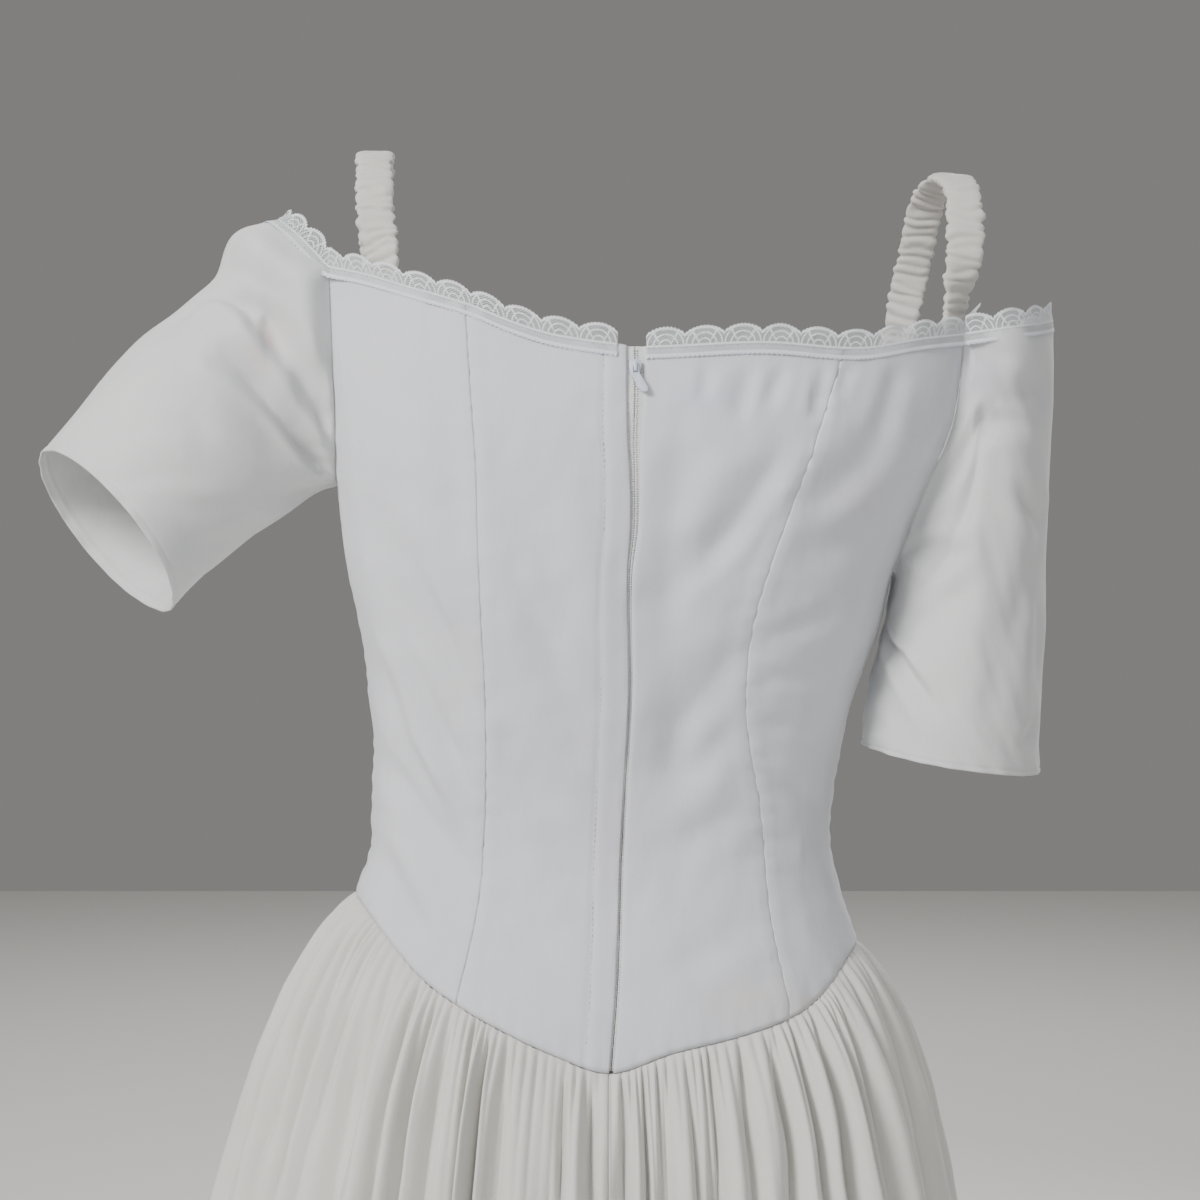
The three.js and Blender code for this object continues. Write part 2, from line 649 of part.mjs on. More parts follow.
// A panel's two faces. "start" and "end" are its seams' places on the waist line, and "first" and "last" the
// numbers of the gathers there.
function skirtWall(line, { start, end, first, last }) {
  const columns = (last - first) * COLUMNS_A_GATHER;
  const stations = Array.from({ length: columns + 1 }, (_, c) => {
    const share = c / columns;
    const distance = lerp(start, end, share + swings(FOLD_SPACING, share));
    const out = skirtOut(line, distance);
    const aside = vec(-out.y, out.x, 0);
    const shift = c === 0 ? SEAM_GAP / 2 : c === columns ? -SEAM_GAP / 2 : 0;
    const seam = line.at(distance).addScaledVector(aside, shift);
    seam.z -= WAIST_GAP;
    return { seam, out, gather: lerp(first, last, share) };
  });
  const face = (depth) =>
    SKIRT_RINGS.map(({ drop, every }) =>
      stations
        .filter((_, c) => c % every === 0)
        .map(({ seam, out, gather }) => {
          const sides = (out.x > 0 ? flare.left(drop) : flare.right(drop)) * out.x ** 2;
          const ends = (out.y > 0 ? flare.back(drop) : flare.front(drop)) * out.y ** 2;
          const reach = sides + ends + skirtWave(gather, drop) - depth;
          const fall = (drop * (seam.z - HEM_Z)) / SKIRT_RINGS.at(-1).drop;
          return seam.clone().addScaledVector(out, reach).setZ(seam.z - fall);
        }),
    );
  return { outer: face(0), inner: face(SKIRT_CLOTH) };
}

function skirt() {
  const line = measuredLine([...waistLine, waistLine[0]]);
  const lengthTo = (name) => {
    const count = PANELS.findIndex((panel) => panel.name === name);
    const before = PANELS.slice(0, count).flatMap((panel) => panelWalls[panel.name].outer.at(-1));
    return before.length ? measuredLine([...before, panelWalls[name].outer.at(-1)[0]]).length : 0;
  };
  const [middle, right] = [lengthTo("centre_back_right"), lengthTo("side_front_right")];
  const pieces = [
    { name: "skirt_back_left", start: 0, end: middle, first: 0, last: GATHERS_TO.backSeam },
    {
      name: "skirt_back_right",
      start: middle,
      end: right,
      first: GATHERS_TO.backSeam,
      last: GATHERS_TO.rightSide,
    },
    { name: "skirt_front", start: right, end: line.length, first: GATHERS_TO.rightSide, last: GATHERS },
  ];
  return pieces.map((piece) => wallMesh(piece.name, skirtWall(line, piece), false, skirtCotton));
}

// Sleeves

// The armhole's edge from its front corner under the arm to its back corner, just clear of the bodice.
function armholeLine(which) {
  const hand = ARMHOLES[which].side === 0 ? 1 : -1;
  const place = (name) => {
    const { places, outer } = panelWalls[name];
    const all = places[0].map(({ theta, z }, i) => ({ point: outer[0][i], out: torsoNormal(theta, z) }));
    const ordered = Math.abs(all[0].point.y) < Math.abs(all.at(-1).point.y) ? all : all.reverse();
    return ordered.slice(0, ARMHOLE_COLUMNS + 1);
  };
  const [behind, before] = [place(`side_back_${which}`), place(`side_front_${which}`)];
  const line = [...before.reverse(), ...behind.slice(1)];
  return line.map(({ point, out }, i) => {
    const along = line[Math.min(i + 1, line.length - 1)].point.clone().sub(line[Math.max(i - 1, 0)].point);
    const away = out.clone().cross(along).normalize().multiplyScalar(hand);
    return point.clone().addScaledVector(out, SLEEVE_OFF).addScaledVector(away, SLEEVE_OFF);
  });
}

// A value round the arm, smooth between those under, behind, above and in front of it.
function roundTheArm({ under, back, top, front }, around) {
  const four = [under, back, top, front];
  const quarter = (around * 4) % 4;
  const i = Math.floor(quarter);
  return four[i].clone().lerp(four[(i + 1) % 4], smoothstep(quarter - i, 0, 1));
}

// A sleeve's smooth outer face, as a function of the place round the arm (0 under it, 0.5 above it) and the
// share of the way from the armhole to the hem.
function sleeveSurface(which) {
  const { hem, leave, arrive, topEdge, creases, long, round } = SLEEVES[which];
  const armhole = armholeLine(which);
  const chords = armhole.length - 1;
  const free = new THREE.CatmullRomCurve3([armhole[0], ...topEdge, armhole.at(-1)]);
  const upperRing = (around) => {
    const turn = around > 0.5 ? around - 1 : around;
    if (Math.abs(turn) > ARMHOLE_SHARE / 2) {
      return free.getPoint((1 - ARMHOLE_SHARE / 2 - around) / (1 - ARMHOLE_SHARE));
    }
    const place = (turn / ARMHOLE_SHARE + 0.5) * chords;
    const i = Math.min(Math.floor(place + ROUNDING), chords - 1);
    return armhole[i].clone().lerp(armhole[i + 1], place - i);
  };
  const lowerRing = (around) => {
    const angle = 2 * Math.PI * around;
    const above = hem.centre.clone().addScaledVector(hem.toTop, -Math.cos(angle));
    return above.addScaledVector(hem.toBack, Math.sin(angle));
  };
  const smooth = (around, along) => {
    const [t2, t3] = [along ** 2, along ** 3];
    return upperRing(around)
      .multiplyScalar(2 * t3 - 3 * t2 + 1)
      .addScaledVector(roundTheArm(leave, around), t3 - 2 * t2 + along)
      .addScaledVector(lowerRing(around), 3 * t2 - 2 * t3)
      .addScaledVector(arrive, t3 - t2);
  };
  const hand = ARMHOLES[which].side === 0 ? -1 : 1;
  const out = (around, along) => {
    const step = SLEEVE_SLOPE.along;
    const down = smooth(around, Math.min(along + step, 1)).sub(smooth(around, Math.max(along - step, 0)));
    const [after, before] = [around + SLEEVE_SLOPE.around, around + 1 - SLEEVE_SLOPE.around];
    const across = smooth(after % 1, along).sub(smooth(before % 1, along));
    return down.cross(across).normalize().multiplyScalar(hand);
  };
  const creaseDepth = (around, along) =>
    creases.reduce((sum, { fromAround, fromAlong, toAround, toAlong, deep, wide }) => {
      const near = around - Math.round(around - (fromAround + toAround) / 2);
      const stretch = [fromAround * round, fromAlong * long, toAround * round, toAlong * long];
      return sum + deep * bump(distanceToStretch(near * round, along * long, ...stretch), wide);
    }, 0) * smoothstep(along, 0, CREASE_START);
  return { smooth, out, creaseDepth };
}

// Places round a sleeve where its columns stand: two to each chord of the armhole, then the free edge's.
const stopsBetween = (start, end, count) =>
  Array.from({ length: count }, (_, i) => (lerp(start, end, i / count) + 1) % 1);
const sleeveStops = [
  ...stopsBetween(-ARMHOLE_SHARE / 2, ARMHOLE_SHARE / 2, 4 * ARMHOLE_COLUMNS),
  ...stopsBetween(ARMHOLE_SHARE / 2, 1 - ARMHOLE_SHARE / 2, FREE_COLUMNS),
];

const sleeveSurfaces = Object.fromEntries(
  Object.keys(SLEEVES).map((which) => [which, sleeveSurface(which)]),
);

function sleeve(which) {
  const { smooth, out, creaseDepth } = sleeveSurfaces[which];
  const stops = ARMHOLES[which].side === 0 ? [...sleeveStops].reverse() : sleeveStops;
  const face = (depth) =>
    Array.from({ length: SLEEVE_ROWS + 1 }, (_, r) => {
      const along = r / SLEEVE_ROWS;
      return stops.map((around) =>
        smooth(around, along).addScaledVector(out(around, along), -depth - creaseDepth(around, along)),
      );
    });
  return wallMesh(`sleeve_${which}`, { outer: face(0), inner: face(CLOTH) }, true, sleeveCotton);
}

// Lace

// Places along the whole neckline, from the zip's right side round the back, over both sleeves and back to
// its left side: the cloth's edge, the way the cloth lies below it and the way the lace stands above it.
function necklineStations() {
  const onBodice = (start, end, count) =>
    Array.from({ length: count }, (_, i) => {
      const theta = lerp(start, end, i / (count - 1));
      const z = necklineZ(theta);
      const edge = torsoPoint(theta, z);
      const lie = torsoPoint(theta, z - LACE_ON_CLOTH).sub(edge).normalize();
      return { edge, lie, up: lie.clone().negate() };
    });
  const onSleeve = (which, start, end, count) =>
    Array.from({ length: count }, (_, i) => {
      const around = lerp(start, end, (i + 0.5) / count);
      const { smooth } = sleeveSurfaces[which];
      const edge = smooth(around, 0);
      const lie = smooth(around, LACE_LIE).sub(edge).normalize();
      return { edge, lie, up: vec(0, 0, LACE_STAND).sub(lie).normalize() };
    });
  const { left, right } = CORNERS;
  const corner = ARMHOLE_SHARE / 2;
  const underEdge = angleAt(LACE_ENDS.right, NECK_START, 1);
  const lapSide = angleAt(LACE_ENDS.left, NECK_START, 1);
  return [
    ...onBodice(underEdge, right.back.theta, LACE_STATIONS.back),
    ...onSleeve("right", corner, 1 - corner, LACE_STATIONS.sleeve),
    ...onBodice(right.front.theta, left.front.theta, LACE_STATIONS.front),
    ...onSleeve("left", 1 - corner, corner, LACE_STATIONS.sleeve),
    ...onBodice(left.back.theta, lapSide, LACE_STATIONS.back),
  ];
}

function lace() {
  const raw = necklineStations();
  const mean = (key, i) => {
    const sum = vec(0, 0, 0);
    for (let k = -LACE_SMOOTH; k <= LACE_SMOOTH; k += 1) sum.add(raw[clamp(i + k, 0, raw.length - 1)][key]);
    return sum;
  };
  const stations = raw.map((station, i) => {
    const along = raw[Math.min(i + 1, raw.length - 1)].edge.clone().sub(raw[Math.max(i - 1, 0)].edge);
    const [lie, up] = [mean("lie", i).normalize(), mean("up", i).normalize()];
    return { edge: station.edge, lie, up, along };
  });
  const edges = measuredLine(stations.map(({ edge }) => edge));
  const scallops = Math.round(edges.length / SCALLOP);
  const count = scallops * LACE_STEPS;
  const between = (key, distance) => {
    let walked = 0;
    let i = 0;
    while (i < stations.length - 2) {
      const step = stations[i + 1].edge.distanceTo(stations[i].edge);
      if (walked + step >= distance) break;
      walked += step;
      i += 1;
    }
    const step = stations[i + 1].edge.distanceTo(stations[i].edge);
    return stations[i][key].clone().lerp(stations[i + 1][key], clamp((distance - walked) / step, 0, 1));
  };
  const corners = Object.values(sleeveSurfaces).flatMap(({ smooth }) => [
    smooth(ARMHOLE_SHARE / 2, 0),
    smooth(1 - ARMHOLE_SHARE / 2, 0),
  ]);
  const [outer, inner] = [[[], [], []], [[], [], []]];
  for (let i = 0; i <= count; i += 1) {
    const distance = (edges.length * i) / count;
    const edge = between("edge", distance);
    const lie = between("lie", distance).normalize();
    const up = between("up", distance).normalize();
    const along = between("along", distance).normalize();
    const onCloth = lie.clone().cross(along).normalize();
    const standing = along.clone().cross(up).normalize();
    const middle = onCloth.clone().add(standing).normalize();
    const high = LACE_FREE - LACE_DIP * (1 - Math.sin((Math.PI * (i % LACE_STEPS)) / LACE_STEPS) ** 0.5);
    const rows = [
      { at: edge.clone().addScaledVector(up, high), out: standing },
      { at: edge, out: middle },
      { at: edge.clone().addScaledVector(lie, LACE_ON_CLOTH), out: onCloth },
    ];
    const nearest = Math.min(...corners.map((corner) => corner.distanceTo(edge)));
    const lift = LACE_LIFT + LACE_CORNER.lift * bump(nearest, LACE_CORNER.wide);
    rows.forEach(({ at, out }, r) => {
      outer[r].push(at.clone().addScaledVector(out, lift + LACE_WALL));
      inner[r].push(at.clone().addScaledVector(out, lift));
    });
  }
  return wallMesh("lace_trim", { outer, inner }, false, laceNet);
}

// Straps

// A point on the inside of the bodice, or of the line it would follow above its edge, a depth behind its
// face, and the way along the wall there.
function insideWall(x, z, facing, depth) {
  const theta = angleAt(x, z, facing);
  const out = torsoNormal(theta, z);
  const point = torsoPoint(theta, z).addScaledVector(out, -depth);
  return { point, wide: vec(-out.y, out.x, 0).normalize() };
}

// A solid band lofted through rings of points, closed at both ends.
function loftMesh(name, rings, material) {
  const positions = rings.flat().flatMap((p) => [p.x, p.y, p.z]);
  const index = [];
  const sides = rings[0].length;
  for (let r = 0; r + 1 < rings.length; r += 1) {
    for (let i = 0; i < sides; i += 1) {
      const [a, b] = [r * sides + i, r * sides + ((i + 1) % sides)];
      index.push(a, b, a + sides, b, b + sides, a + sides);
    }
  }
  const last = (rings.length - 1) * sides;
  for (let i = 1; i + 1 < sides; i += 1) {
    index.push(0, i + 1, i, last, last + i, last + i + 1);
  }
  const geometry = new THREE.BufferGeometry();
  geometry.setAttribute("position", new THREE.Float32BufferAttribute(positions, 3));
  geometry.setIndex(index);
  geometry.computeVertexNormals();
  return namedMesh(name, geometry, material);
}

// A ruched strap from inside the back of the neckline, over the shoulder, to inside the front.
function strap(which) {
  const { back, over, front } = STRAPS[which];
  const depth = CLOTH + STRAP.clear + STRAP.thick / 2;
  const sewn = (rows, facing) => rows.map(({ x, z, off }) => insideWall(x, z, facing, depth + off));
  const stations = [
    ...sewn(back, 1),
    ...over.map((point) => ({ point, wide: vec(-1, 0, 0) })),
    ...sewn(front, -1).map(({ point, wide }) => ({ point, wide: wide.negate() })),
  ];
  const path = new THREE.CatmullRomCurve3(stations.map(({ point }) => point));
  const widths = new THREE.CatmullRomCurve3(stations.map(({ wide }) => wide));
  const count = RUCHES.count * 2;
  const rings = Array.from({ length: count + 1 }, (_, i) => {
    const u = path.getUtoTmapping(i / count);
    const centre = path.getPoint(u);
    const along = path.getTangent(u);
    const out = along.clone().cross(widths.getPoint(u)).normalize();
    const wide = out.clone().cross(along).normalize();
    const ruched = smoothstep(Math.min(i, count - i) / count, STRAP_END.plain / 2, STRAP_END.plain);
    const ridge = ruched * (i % 2 === 0 ? -1 : 1);
    const half = STRAP.wide / 2 + RUCHES.narrow * ridge;
    const thick = (STRAP.thick / 2) * lerp(STRAP_END.thin, 1, ruched) + RUCHES.rise * ridge;
    const corners = [
      [1, 0],
      [STRAP.flat, 1],
      [-STRAP.flat, 1],
      [-1, 0],
      [-STRAP.flat, -1],
      [STRAP.flat, -1],
    ];
    return corners.map(([a, b]) =>
      centre.clone().addScaledVector(wide, a * half).addScaledVector(out, b * thick),
    );
  });
  return loftMesh(`strap_${which}`, rings, strapCotton);
}

// Zip

// The middle of the opening at a height, which the zip's teeth follow.
const zipMiddle = (z) => lapEdge.x(z) - lapEdge.gap(z) / 2;

// One tape, from its teeth beside the middle (hand 1 for the wearer's left) out to its woven edge, made from
// the points of the panel that it is sewn to, moved in.
function tape(name, hand, panel) {
  const toothEnd = ZIP.middleGap + TEETH.wide;
  const columns = [
    { off: ZIP.middleGap, rise: TEETH.high },
    { off: toothEnd, rise: TEETH.high },
    { off: toothEnd + ZIP.tapeThick, rise: 0 },
    { off: ZIP.tapeWide / 2, rise: 0 },
    { off: ZIP.tapeWide, rise: 0 },
  ];
  const ordered = hand > 0 ? columns.reverse() : columns;
  const column = (i) => panelWalls[panel].inner.map((row) => row.at(hand > 0 ? -1 - i : i).clone());
  const [edge, next] = [column(0), column(1)];
  for (const line of [edge, next]) {
    const [above, last] = line.slice(-2);
    last.lerpVectors(above, last, (above.z - ZIP.bottom) / (above.z - last.z));
  }
  const face = (depth, raised) =>
    edge.map((point, r) => {
      const across = next[r].clone().sub(point);
      const out = vec(-hand * across.y, hand * across.x, 0).normalize();
      const showing = raised * smoothstep(lapEdge.gap(point.z), ZIP_GAP.hidden, ZIP_GAP.open);
      return ordered.map(({ off, rise }) => {
        const share = (zipMiddle(point.z) + hand * off - point.x) / across.x;
        const behind = ZIP.behind + depth - rise * showing;
        return point.clone().addScaledVector(across, share).addScaledVector(out, -behind);
      });
    });
  return wallMesh(name, { outer: face(0, 1), inner: face(ZIP.tapeThick, 0) }, false, zipTape);
}

// Geometry as a solid that can be joined to others, and back again
const wasm = await Module();
wasm.setup();

function solid(geometry) {
  const bare = geometry.clone();
  bare.deleteAttribute("normal");
  bare.deleteAttribute("uv");
  const merged = mergeVertices(bare, WELD);
  return new wasm.Manifold(
    new wasm.Mesh({
      numProp: 3,
      vertProperties: Float32Array.from(merged.attributes.position.array),
      triVerts: Uint32Array.from(merged.index.array),
    }),
  );
}

function joined(geometries) {
  const body = geometries.map(solid).reduce((sum, next) => sum.add(next));
  const mesh = body.getMesh();
  const geometry = new THREE.BufferGeometry();
  geometry.setAttribute("position", new THREE.Float32BufferAttribute(mesh.vertProperties, 3));
  geometry.setIndex(Array.from(mesh.triVerts));
  geometry.computeVertexNormals();
  return geometry;
}

// A plate cut from an outline of [across, along] points, lying in the plane of the zip.
function plate(points, thick) {
  const shape = new THREE.Shape(points.map(([across, along]) => new THREE.Vector2(across, along)));
  return new THREE.ExtrudeGeometry(shape, { depth: thick, bevelEnabled: false });
}

const block = (wide, long, thick, x, y, z) => new THREE.BoxGeometry(wide, long, thick).translate(x, y, z);

// The slider's body with its crown, an arch that the pull's pin runs in. Across is x, up the zip is y and out
// of the dress is z; the pin's axis lies at the origin.
function sliderGeometry() {
  const { wide, foot, long, thick } = SLIDER;
  const top = long / 2 - CROWN.above;
  const half = [
    [foot / 2, top - long],
    [wide / 2, top - long * SLIDER_WIDEST.to],
    [wide / 2, top - long * SLIDER_WIDEST.from],
    [wide / 4, top],
  ];
  const mirrored = half.map(([across, along]) => [-across, along]).reverse();
  const body = plate([...half, ...mirrored], thick).translate(0, 0, -CROWN.room / 2 - thick);
  const legHigh = CROWN.room + CROWN.wall + SINK;
  const legZ = (CROWN.wall - SINK) / 2;
  const legY = (CROWN.long - CROWN.wall) / 2;
  return joined([
    body,
    block(CROWN.wide, CROWN.wall, legHigh, 0, legY, legZ),
    block(CROWN.wide, CROWN.wall, legHigh, 0, -legY, legZ),
    block(CROWN.wide, CROWN.long, CROWN.wall, 0, 0, (CROWN.room + CROWN.wall) / 2),
  ]);
}

// The pull: a pin under the crown, two arms beside it and a rounded plate that leans to the wearer's right.
function pullGeometry() {
  const pinWide = PULL.eyeWide + 2 * PULL.arm;
  const pin = new THREE.CylinderGeometry(PULL.pin, PULL.pin, pinWide, PULL.pinSides).rotateZ(Math.PI / 2);
  const armLong = PULL.eyeLong + PULL.pin + SINK;
  const arm = (hand) => {
    const middle = (hand * (PULL.eyeWide + PULL.arm)) / 2;
    return block(PULL.arm, armLong, PULL.thick, middle, PULL.pin - armLong / 2, 0);
  };
  const down = (share) => -PULL.eyeLong - share * PULL.long;
  const across = (hand, half, share) => hand * half + PULL_LEAN * share * PULL.long;
  const { from, to } = PULL_WIDEST;
  const side = (hand) => [
    [across(hand, pinWide / 2, 0), down(0)],
    [across(hand, PULL.wide / 2, from), down(from)],
    [across(hand, PULL.wide / 2, to), down(to)],
    [across(hand, PULL.wide / 4, 1), down(1)],
  ];
  const tab = plate([...side(-1), ...side(1).reverse()], PULL.thick).translate(0, 0, -PULL.thick / 2);
  return joined([pin, arm(1), arm(-1), tab]);
}

// Metal pieces at the top of the zip, tilted back with the cloth
function onZip(name, geometry) {
  const z = SLIDER.top - SLIDER.long / 2 + CROWN.above;
  const theta = angleAt(zipMiddle(z), z, 1);
  const out = torsoNormal(theta, z).setX(0).normalize();
  const across = vec(-1, 0, 0);
  const basis = new THREE.Matrix4().makeBasis(across, out.clone().cross(across), out);
  const mesh = namedMesh(name, geometry, zipMetal);
  mesh.quaternion.setFromRotationMatrix(basis);
  mesh.position.copy(torsoPoint(theta, z)).addScaledVector(out, SLIDER.proud + CROWN.room / 2);
  return mesh;
}

// The whole dress

const dress = new THREE.Group();
dress.add(
  ...bodice,
  ...skirt(),
  sleeve("left"),
  sleeve("right"),
  lace(),
  strap("left"),
  strap("right"),
  tape("zip_tape_left", 1, "centre_back_left"),
  tape("zip_tape_right", -1, "centre_back_right"),
  onZip("zip_slider", sliderGeometry()),
  onZip("zip_pull", pullGeometry()),
);

export default dress;
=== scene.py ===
"""Finishes a floor-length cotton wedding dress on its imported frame.

Sizes in the tables are in millimetres, as a dressmaker writes them, and MM turns them into metres where
a mesh is placed. +Z is up, +Y is the dress's back and +X is the wearer's left. The origin lies between
the shoulders, on the line where the straps rest. Every cloth piece is a thin shell on the form of its
solid, with the creases that it has when worn.
"""

from __future__ import annotations

import logging
import math
from collections.abc import Callable, Sequence
from dataclasses import dataclass
from enum import Enum
from functools import cache

import bmesh
import bpy
import numpy as np
from bmesh.types import BMesh
from bpy.types import Material, Node, NodeSocket, Object
from mathutils import Matrix, Vector


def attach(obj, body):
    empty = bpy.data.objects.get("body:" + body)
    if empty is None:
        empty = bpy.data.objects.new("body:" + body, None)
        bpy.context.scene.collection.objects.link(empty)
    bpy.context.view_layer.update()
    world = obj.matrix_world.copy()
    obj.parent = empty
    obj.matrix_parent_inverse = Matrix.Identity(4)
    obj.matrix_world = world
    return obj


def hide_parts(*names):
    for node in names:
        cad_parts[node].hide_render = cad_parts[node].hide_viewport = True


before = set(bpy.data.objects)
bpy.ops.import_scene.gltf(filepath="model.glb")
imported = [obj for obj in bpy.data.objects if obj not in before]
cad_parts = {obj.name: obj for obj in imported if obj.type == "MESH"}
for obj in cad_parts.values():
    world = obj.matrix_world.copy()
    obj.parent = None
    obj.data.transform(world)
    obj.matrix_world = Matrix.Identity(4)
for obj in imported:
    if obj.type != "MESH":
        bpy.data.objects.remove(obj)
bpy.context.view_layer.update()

Array = np.ndarray
Point = tuple[float, float, float]
MM = 0.001
TURN = 2 * math.pi
BODY = "dress"
PULL_BODY = "zip_pull"
NECK, WAIST = -100.0, -450.0
log = logging.getLogger("dress")


def hermite(start: Array, leave: Array, end: Array, arrive: Array, t: Array) -> Array:
    """Values at shares t of the smooth way from start to end, with the slopes leave and arrive there."""
    t2, t3 = t * t, t * t * t
    return (
        (2 * t3 - 3 * t2 + 1) * start
        + (t3 - 2 * t2 + t) * leave
        + (3 * t2 - 2 * t3) * end
        + (t3 - t2) * arrive
    )


def smoothstep(value: Array, low: float, high: float) -> Array:
    """0 below low, 1 above high and smooth between them."""
    t = np.clip((value - low) / (high - low), 0, 1)
    return t * t * (3 - 2 * t)


def bump(distance: Array, wide: Array | float) -> Array:
    """A soft hump that is 1 at no distance and about a third at one width."""
    return np.exp(-((distance / wide) ** 2))


def signed_power(value: Array, power: float) -> Array:
    """A power that keeps its value's sign."""
    return np.sign(value) * np.abs(value) ** power


def unit(vectors: Array) -> Array:
    """Vectors made one long."""
    return vectors / np.maximum(np.linalg.norm(vectors, axis=-1, keepdims=True), 1e-9)


def ripple(x: Array, y: Array, size: float, seed: int) -> Array:
    """An uneven soft surface, from waves that cross in many directions.

    Args:
        x: Places along one way over the cloth.
        y: Places along the other way.
        size: The waves' usual length, in the same unit.
        seed: Which of many such surfaces it is.

    Returns:
        Heights that stay between about -1 and 1.
    """
    random = np.random.default_rng(seed)
    total = np.zeros(np.broadcast(x, y).shape)
    waves = 7
    for _ in range(waves):
        turn, phase = random.uniform(0, TURN, 2)
        pitch = TURN / (size * random.uniform(0.6, 1.7))
        total += np.sin(pitch * (x * math.cos(turn) + y * math.sin(turn)) + phase)
    return total / math.sqrt(2 * waves)


class Table:
    """Sizes in named columns, each a smooth function of the first."""

    def __init__(self, names: str, rows: Sequence[Sequence[float]]) -> None:
        """Keeps the columns' names, with the key's first, and the rows, sorted by their key."""
        self.names = names.split()
        self.rows = np.array(sorted(rows), float)

    def at(self, name: str, key: Array | float) -> Array:
        """One column at some keys, level beyond both ends.

        Args:
            name: The column's name.
            key: Where its values are wanted.

        Returns:
            The column's values there.
        """
        keys, values = self.rows[:, 0], self.rows[:, self.names.index(name)]
        last = len(keys) - 1
        before = np.maximum(np.arange(last + 1) - 1, 0)
        after = np.minimum(np.arange(last + 1) + 1, last)
        slopes = (values[after] - values[before]) / (keys[after] - keys[before])
        i = np.clip(np.searchsorted(keys, key) - 1, 0, last - 1)
        span = keys[i + 1] - keys[i]
        t = np.clip((key - keys[i]) / span, 0, 1)
        return hermite(values[i], slopes[i] * span, values[i + 1], slopes[i + 1] * span, t)


class RoundedLine:
    """A smooth line through points, which bends less where they stand close together."""

    def __init__(self, points: Sequence[Sequence[float]]) -> None:
        """Adds one point beyond each end, so that the ends run straight.

        Args:
            points: The points, in millimetres.
        """
        inner = np.array(points, float)
        first, last = 2 * inner[0] - inner[1], 2 * inner[-1] - inner[-2]
        self.points = np.vstack([first, inner, last])

    def at(self, share: Array) -> Array:
        """Points at shares of the way, with as much of it between any two of the line's own points.

        Args:
            share: From 0 at the first point to 1 at the last.

        Returns:
            The points, one for each share.
        """
        steps = len(self.points) - 3
        place = np.clip(share, 0, 1) * steps
        i = np.clip(np.floor(place).astype(int), 0, steps - 1)
        t = (place - i)[..., None]
        p = [self.points[i + k] for k in range(4)]
        apart = [np.linalg.norm(p[k + 1] - p[k], axis=-1, keepdims=True) for k in range(3)]
        gaps = [np.maximum(distance, 1e-6) ** 0.5 for distance in apart]
        leave = (p[1] - p[0]) / gaps[0] - (p[2] - p[0]) / (gaps[0] + gaps[1]) + (p[2] - p[1]) / gaps[1]
        arrive = (p[2] - p[1]) / gaps[1] - (p[3] - p[1]) / (gaps[1] + gaps[2]) + (p[3] - p[2]) / gaps[2]
        return hermite(p[1], leave * gaps[1], p[2], arrive * gaps[1], t)


class MeasuredLine:
    """A line of close points, read by the distance along it."""

    def __init__(self, points: Array) -> None:
        """Measures the line.

        Args:
            points: The line's points.
        """
        steps = np.linalg.norm(np.diff(points, axis=0), axis=1)
        self.points = points
        self.walked = np.concatenate([[0], np.cumsum(steps)])
        self.length = float(self.walked[-1])

    def at(self, distance: Array, values: Array | None = None) -> Array:
        """The line's points at some distances, or other values that belong to them."""
        table = self.points if values is None else values
        return np.stack([np.interp(distance, self.walked, column) for column in table.T], axis=-1)


@dataclass(frozen=True)
class Crease:
    """A soft trough along a line drawn on the cloth, or a ridge where its depth is below 0.

    Attributes:
        line: The line's points on the cloth.
        deep: How far the cloth sinks in its middle.
        wide: How far it reaches to each side.
        lean: How much wider it is on the left of its direction, from -0.8 to 0.8.
        rim: How high its edges stand, as a share of its depth.
        sharp: How much of it is a folded line and not a soft trough, from 0 to 1.
    """

    line: tuple[tuple[float, float], ...]
    deep: float
    wide: float
    lean: float = 0.0
    rim: float = 0.35
    sharp: float = 0.0

    def depth(self, x: Array, y: Array) -> Array:
        """How far the cloth sinks at some places.

        Args:
            x: Places along the cloth's first way.
            y: Places along its second way.

        Returns:
            The depths there.
        """
        points = np.array(self.line, float)
        nearest = np.full(np.broadcast(x, y).shape, 1e9)
        side, along = np.zeros_like(nearest), np.zeros_like(nearest)
        across = points[-1] - points[0]
        across = np.array([-across[1], across[0]]) / np.hypot(*across)
        walked = 0.0
        for start, end in zip(points[:-1], points[1:]):
            way = end - start
            length = float(np.hypot(*way))
            t = np.clip(((x - start[0]) * way[0] + (y - start[1]) * way[1]) / length**2, 0, 1)
            dx, dy = x - start[0] - t * way[0], y - start[1] - t * way[1]
            distance = np.hypot(dx, dy)
            closer = distance < nearest
            nearest = np.where(closer, distance, nearest)
            side = np.where(closer, (dx * across[0] + dy * across[1]) / (distance + 0.5 * self.wide), side)
            along = np.where(closer, walked + t * length, along)
            walked += length
        wide = self.wide * (1 + self.lean * side)
        fade = smoothstep(np.minimum(along, walked - along) / walked, -0.02, 0.34)
        soft, folded = bump(nearest, wide), np.exp(-nearest / (0.8 * wide))
        trough = soft * (1 - self.sharp) + folded * self.sharp
        return self.deep * fade * (trough - self.rim * bump(nearest - 1.9 * wide, 0.9 * wide))


def creased(creases: Sequence[Crease], x: Array, y: Array) -> Array:
    """The depth of several creases together."""
    return sum((crease.depth(x, y) for crease in creases), np.zeros(np.broadcast(x, y).shape))


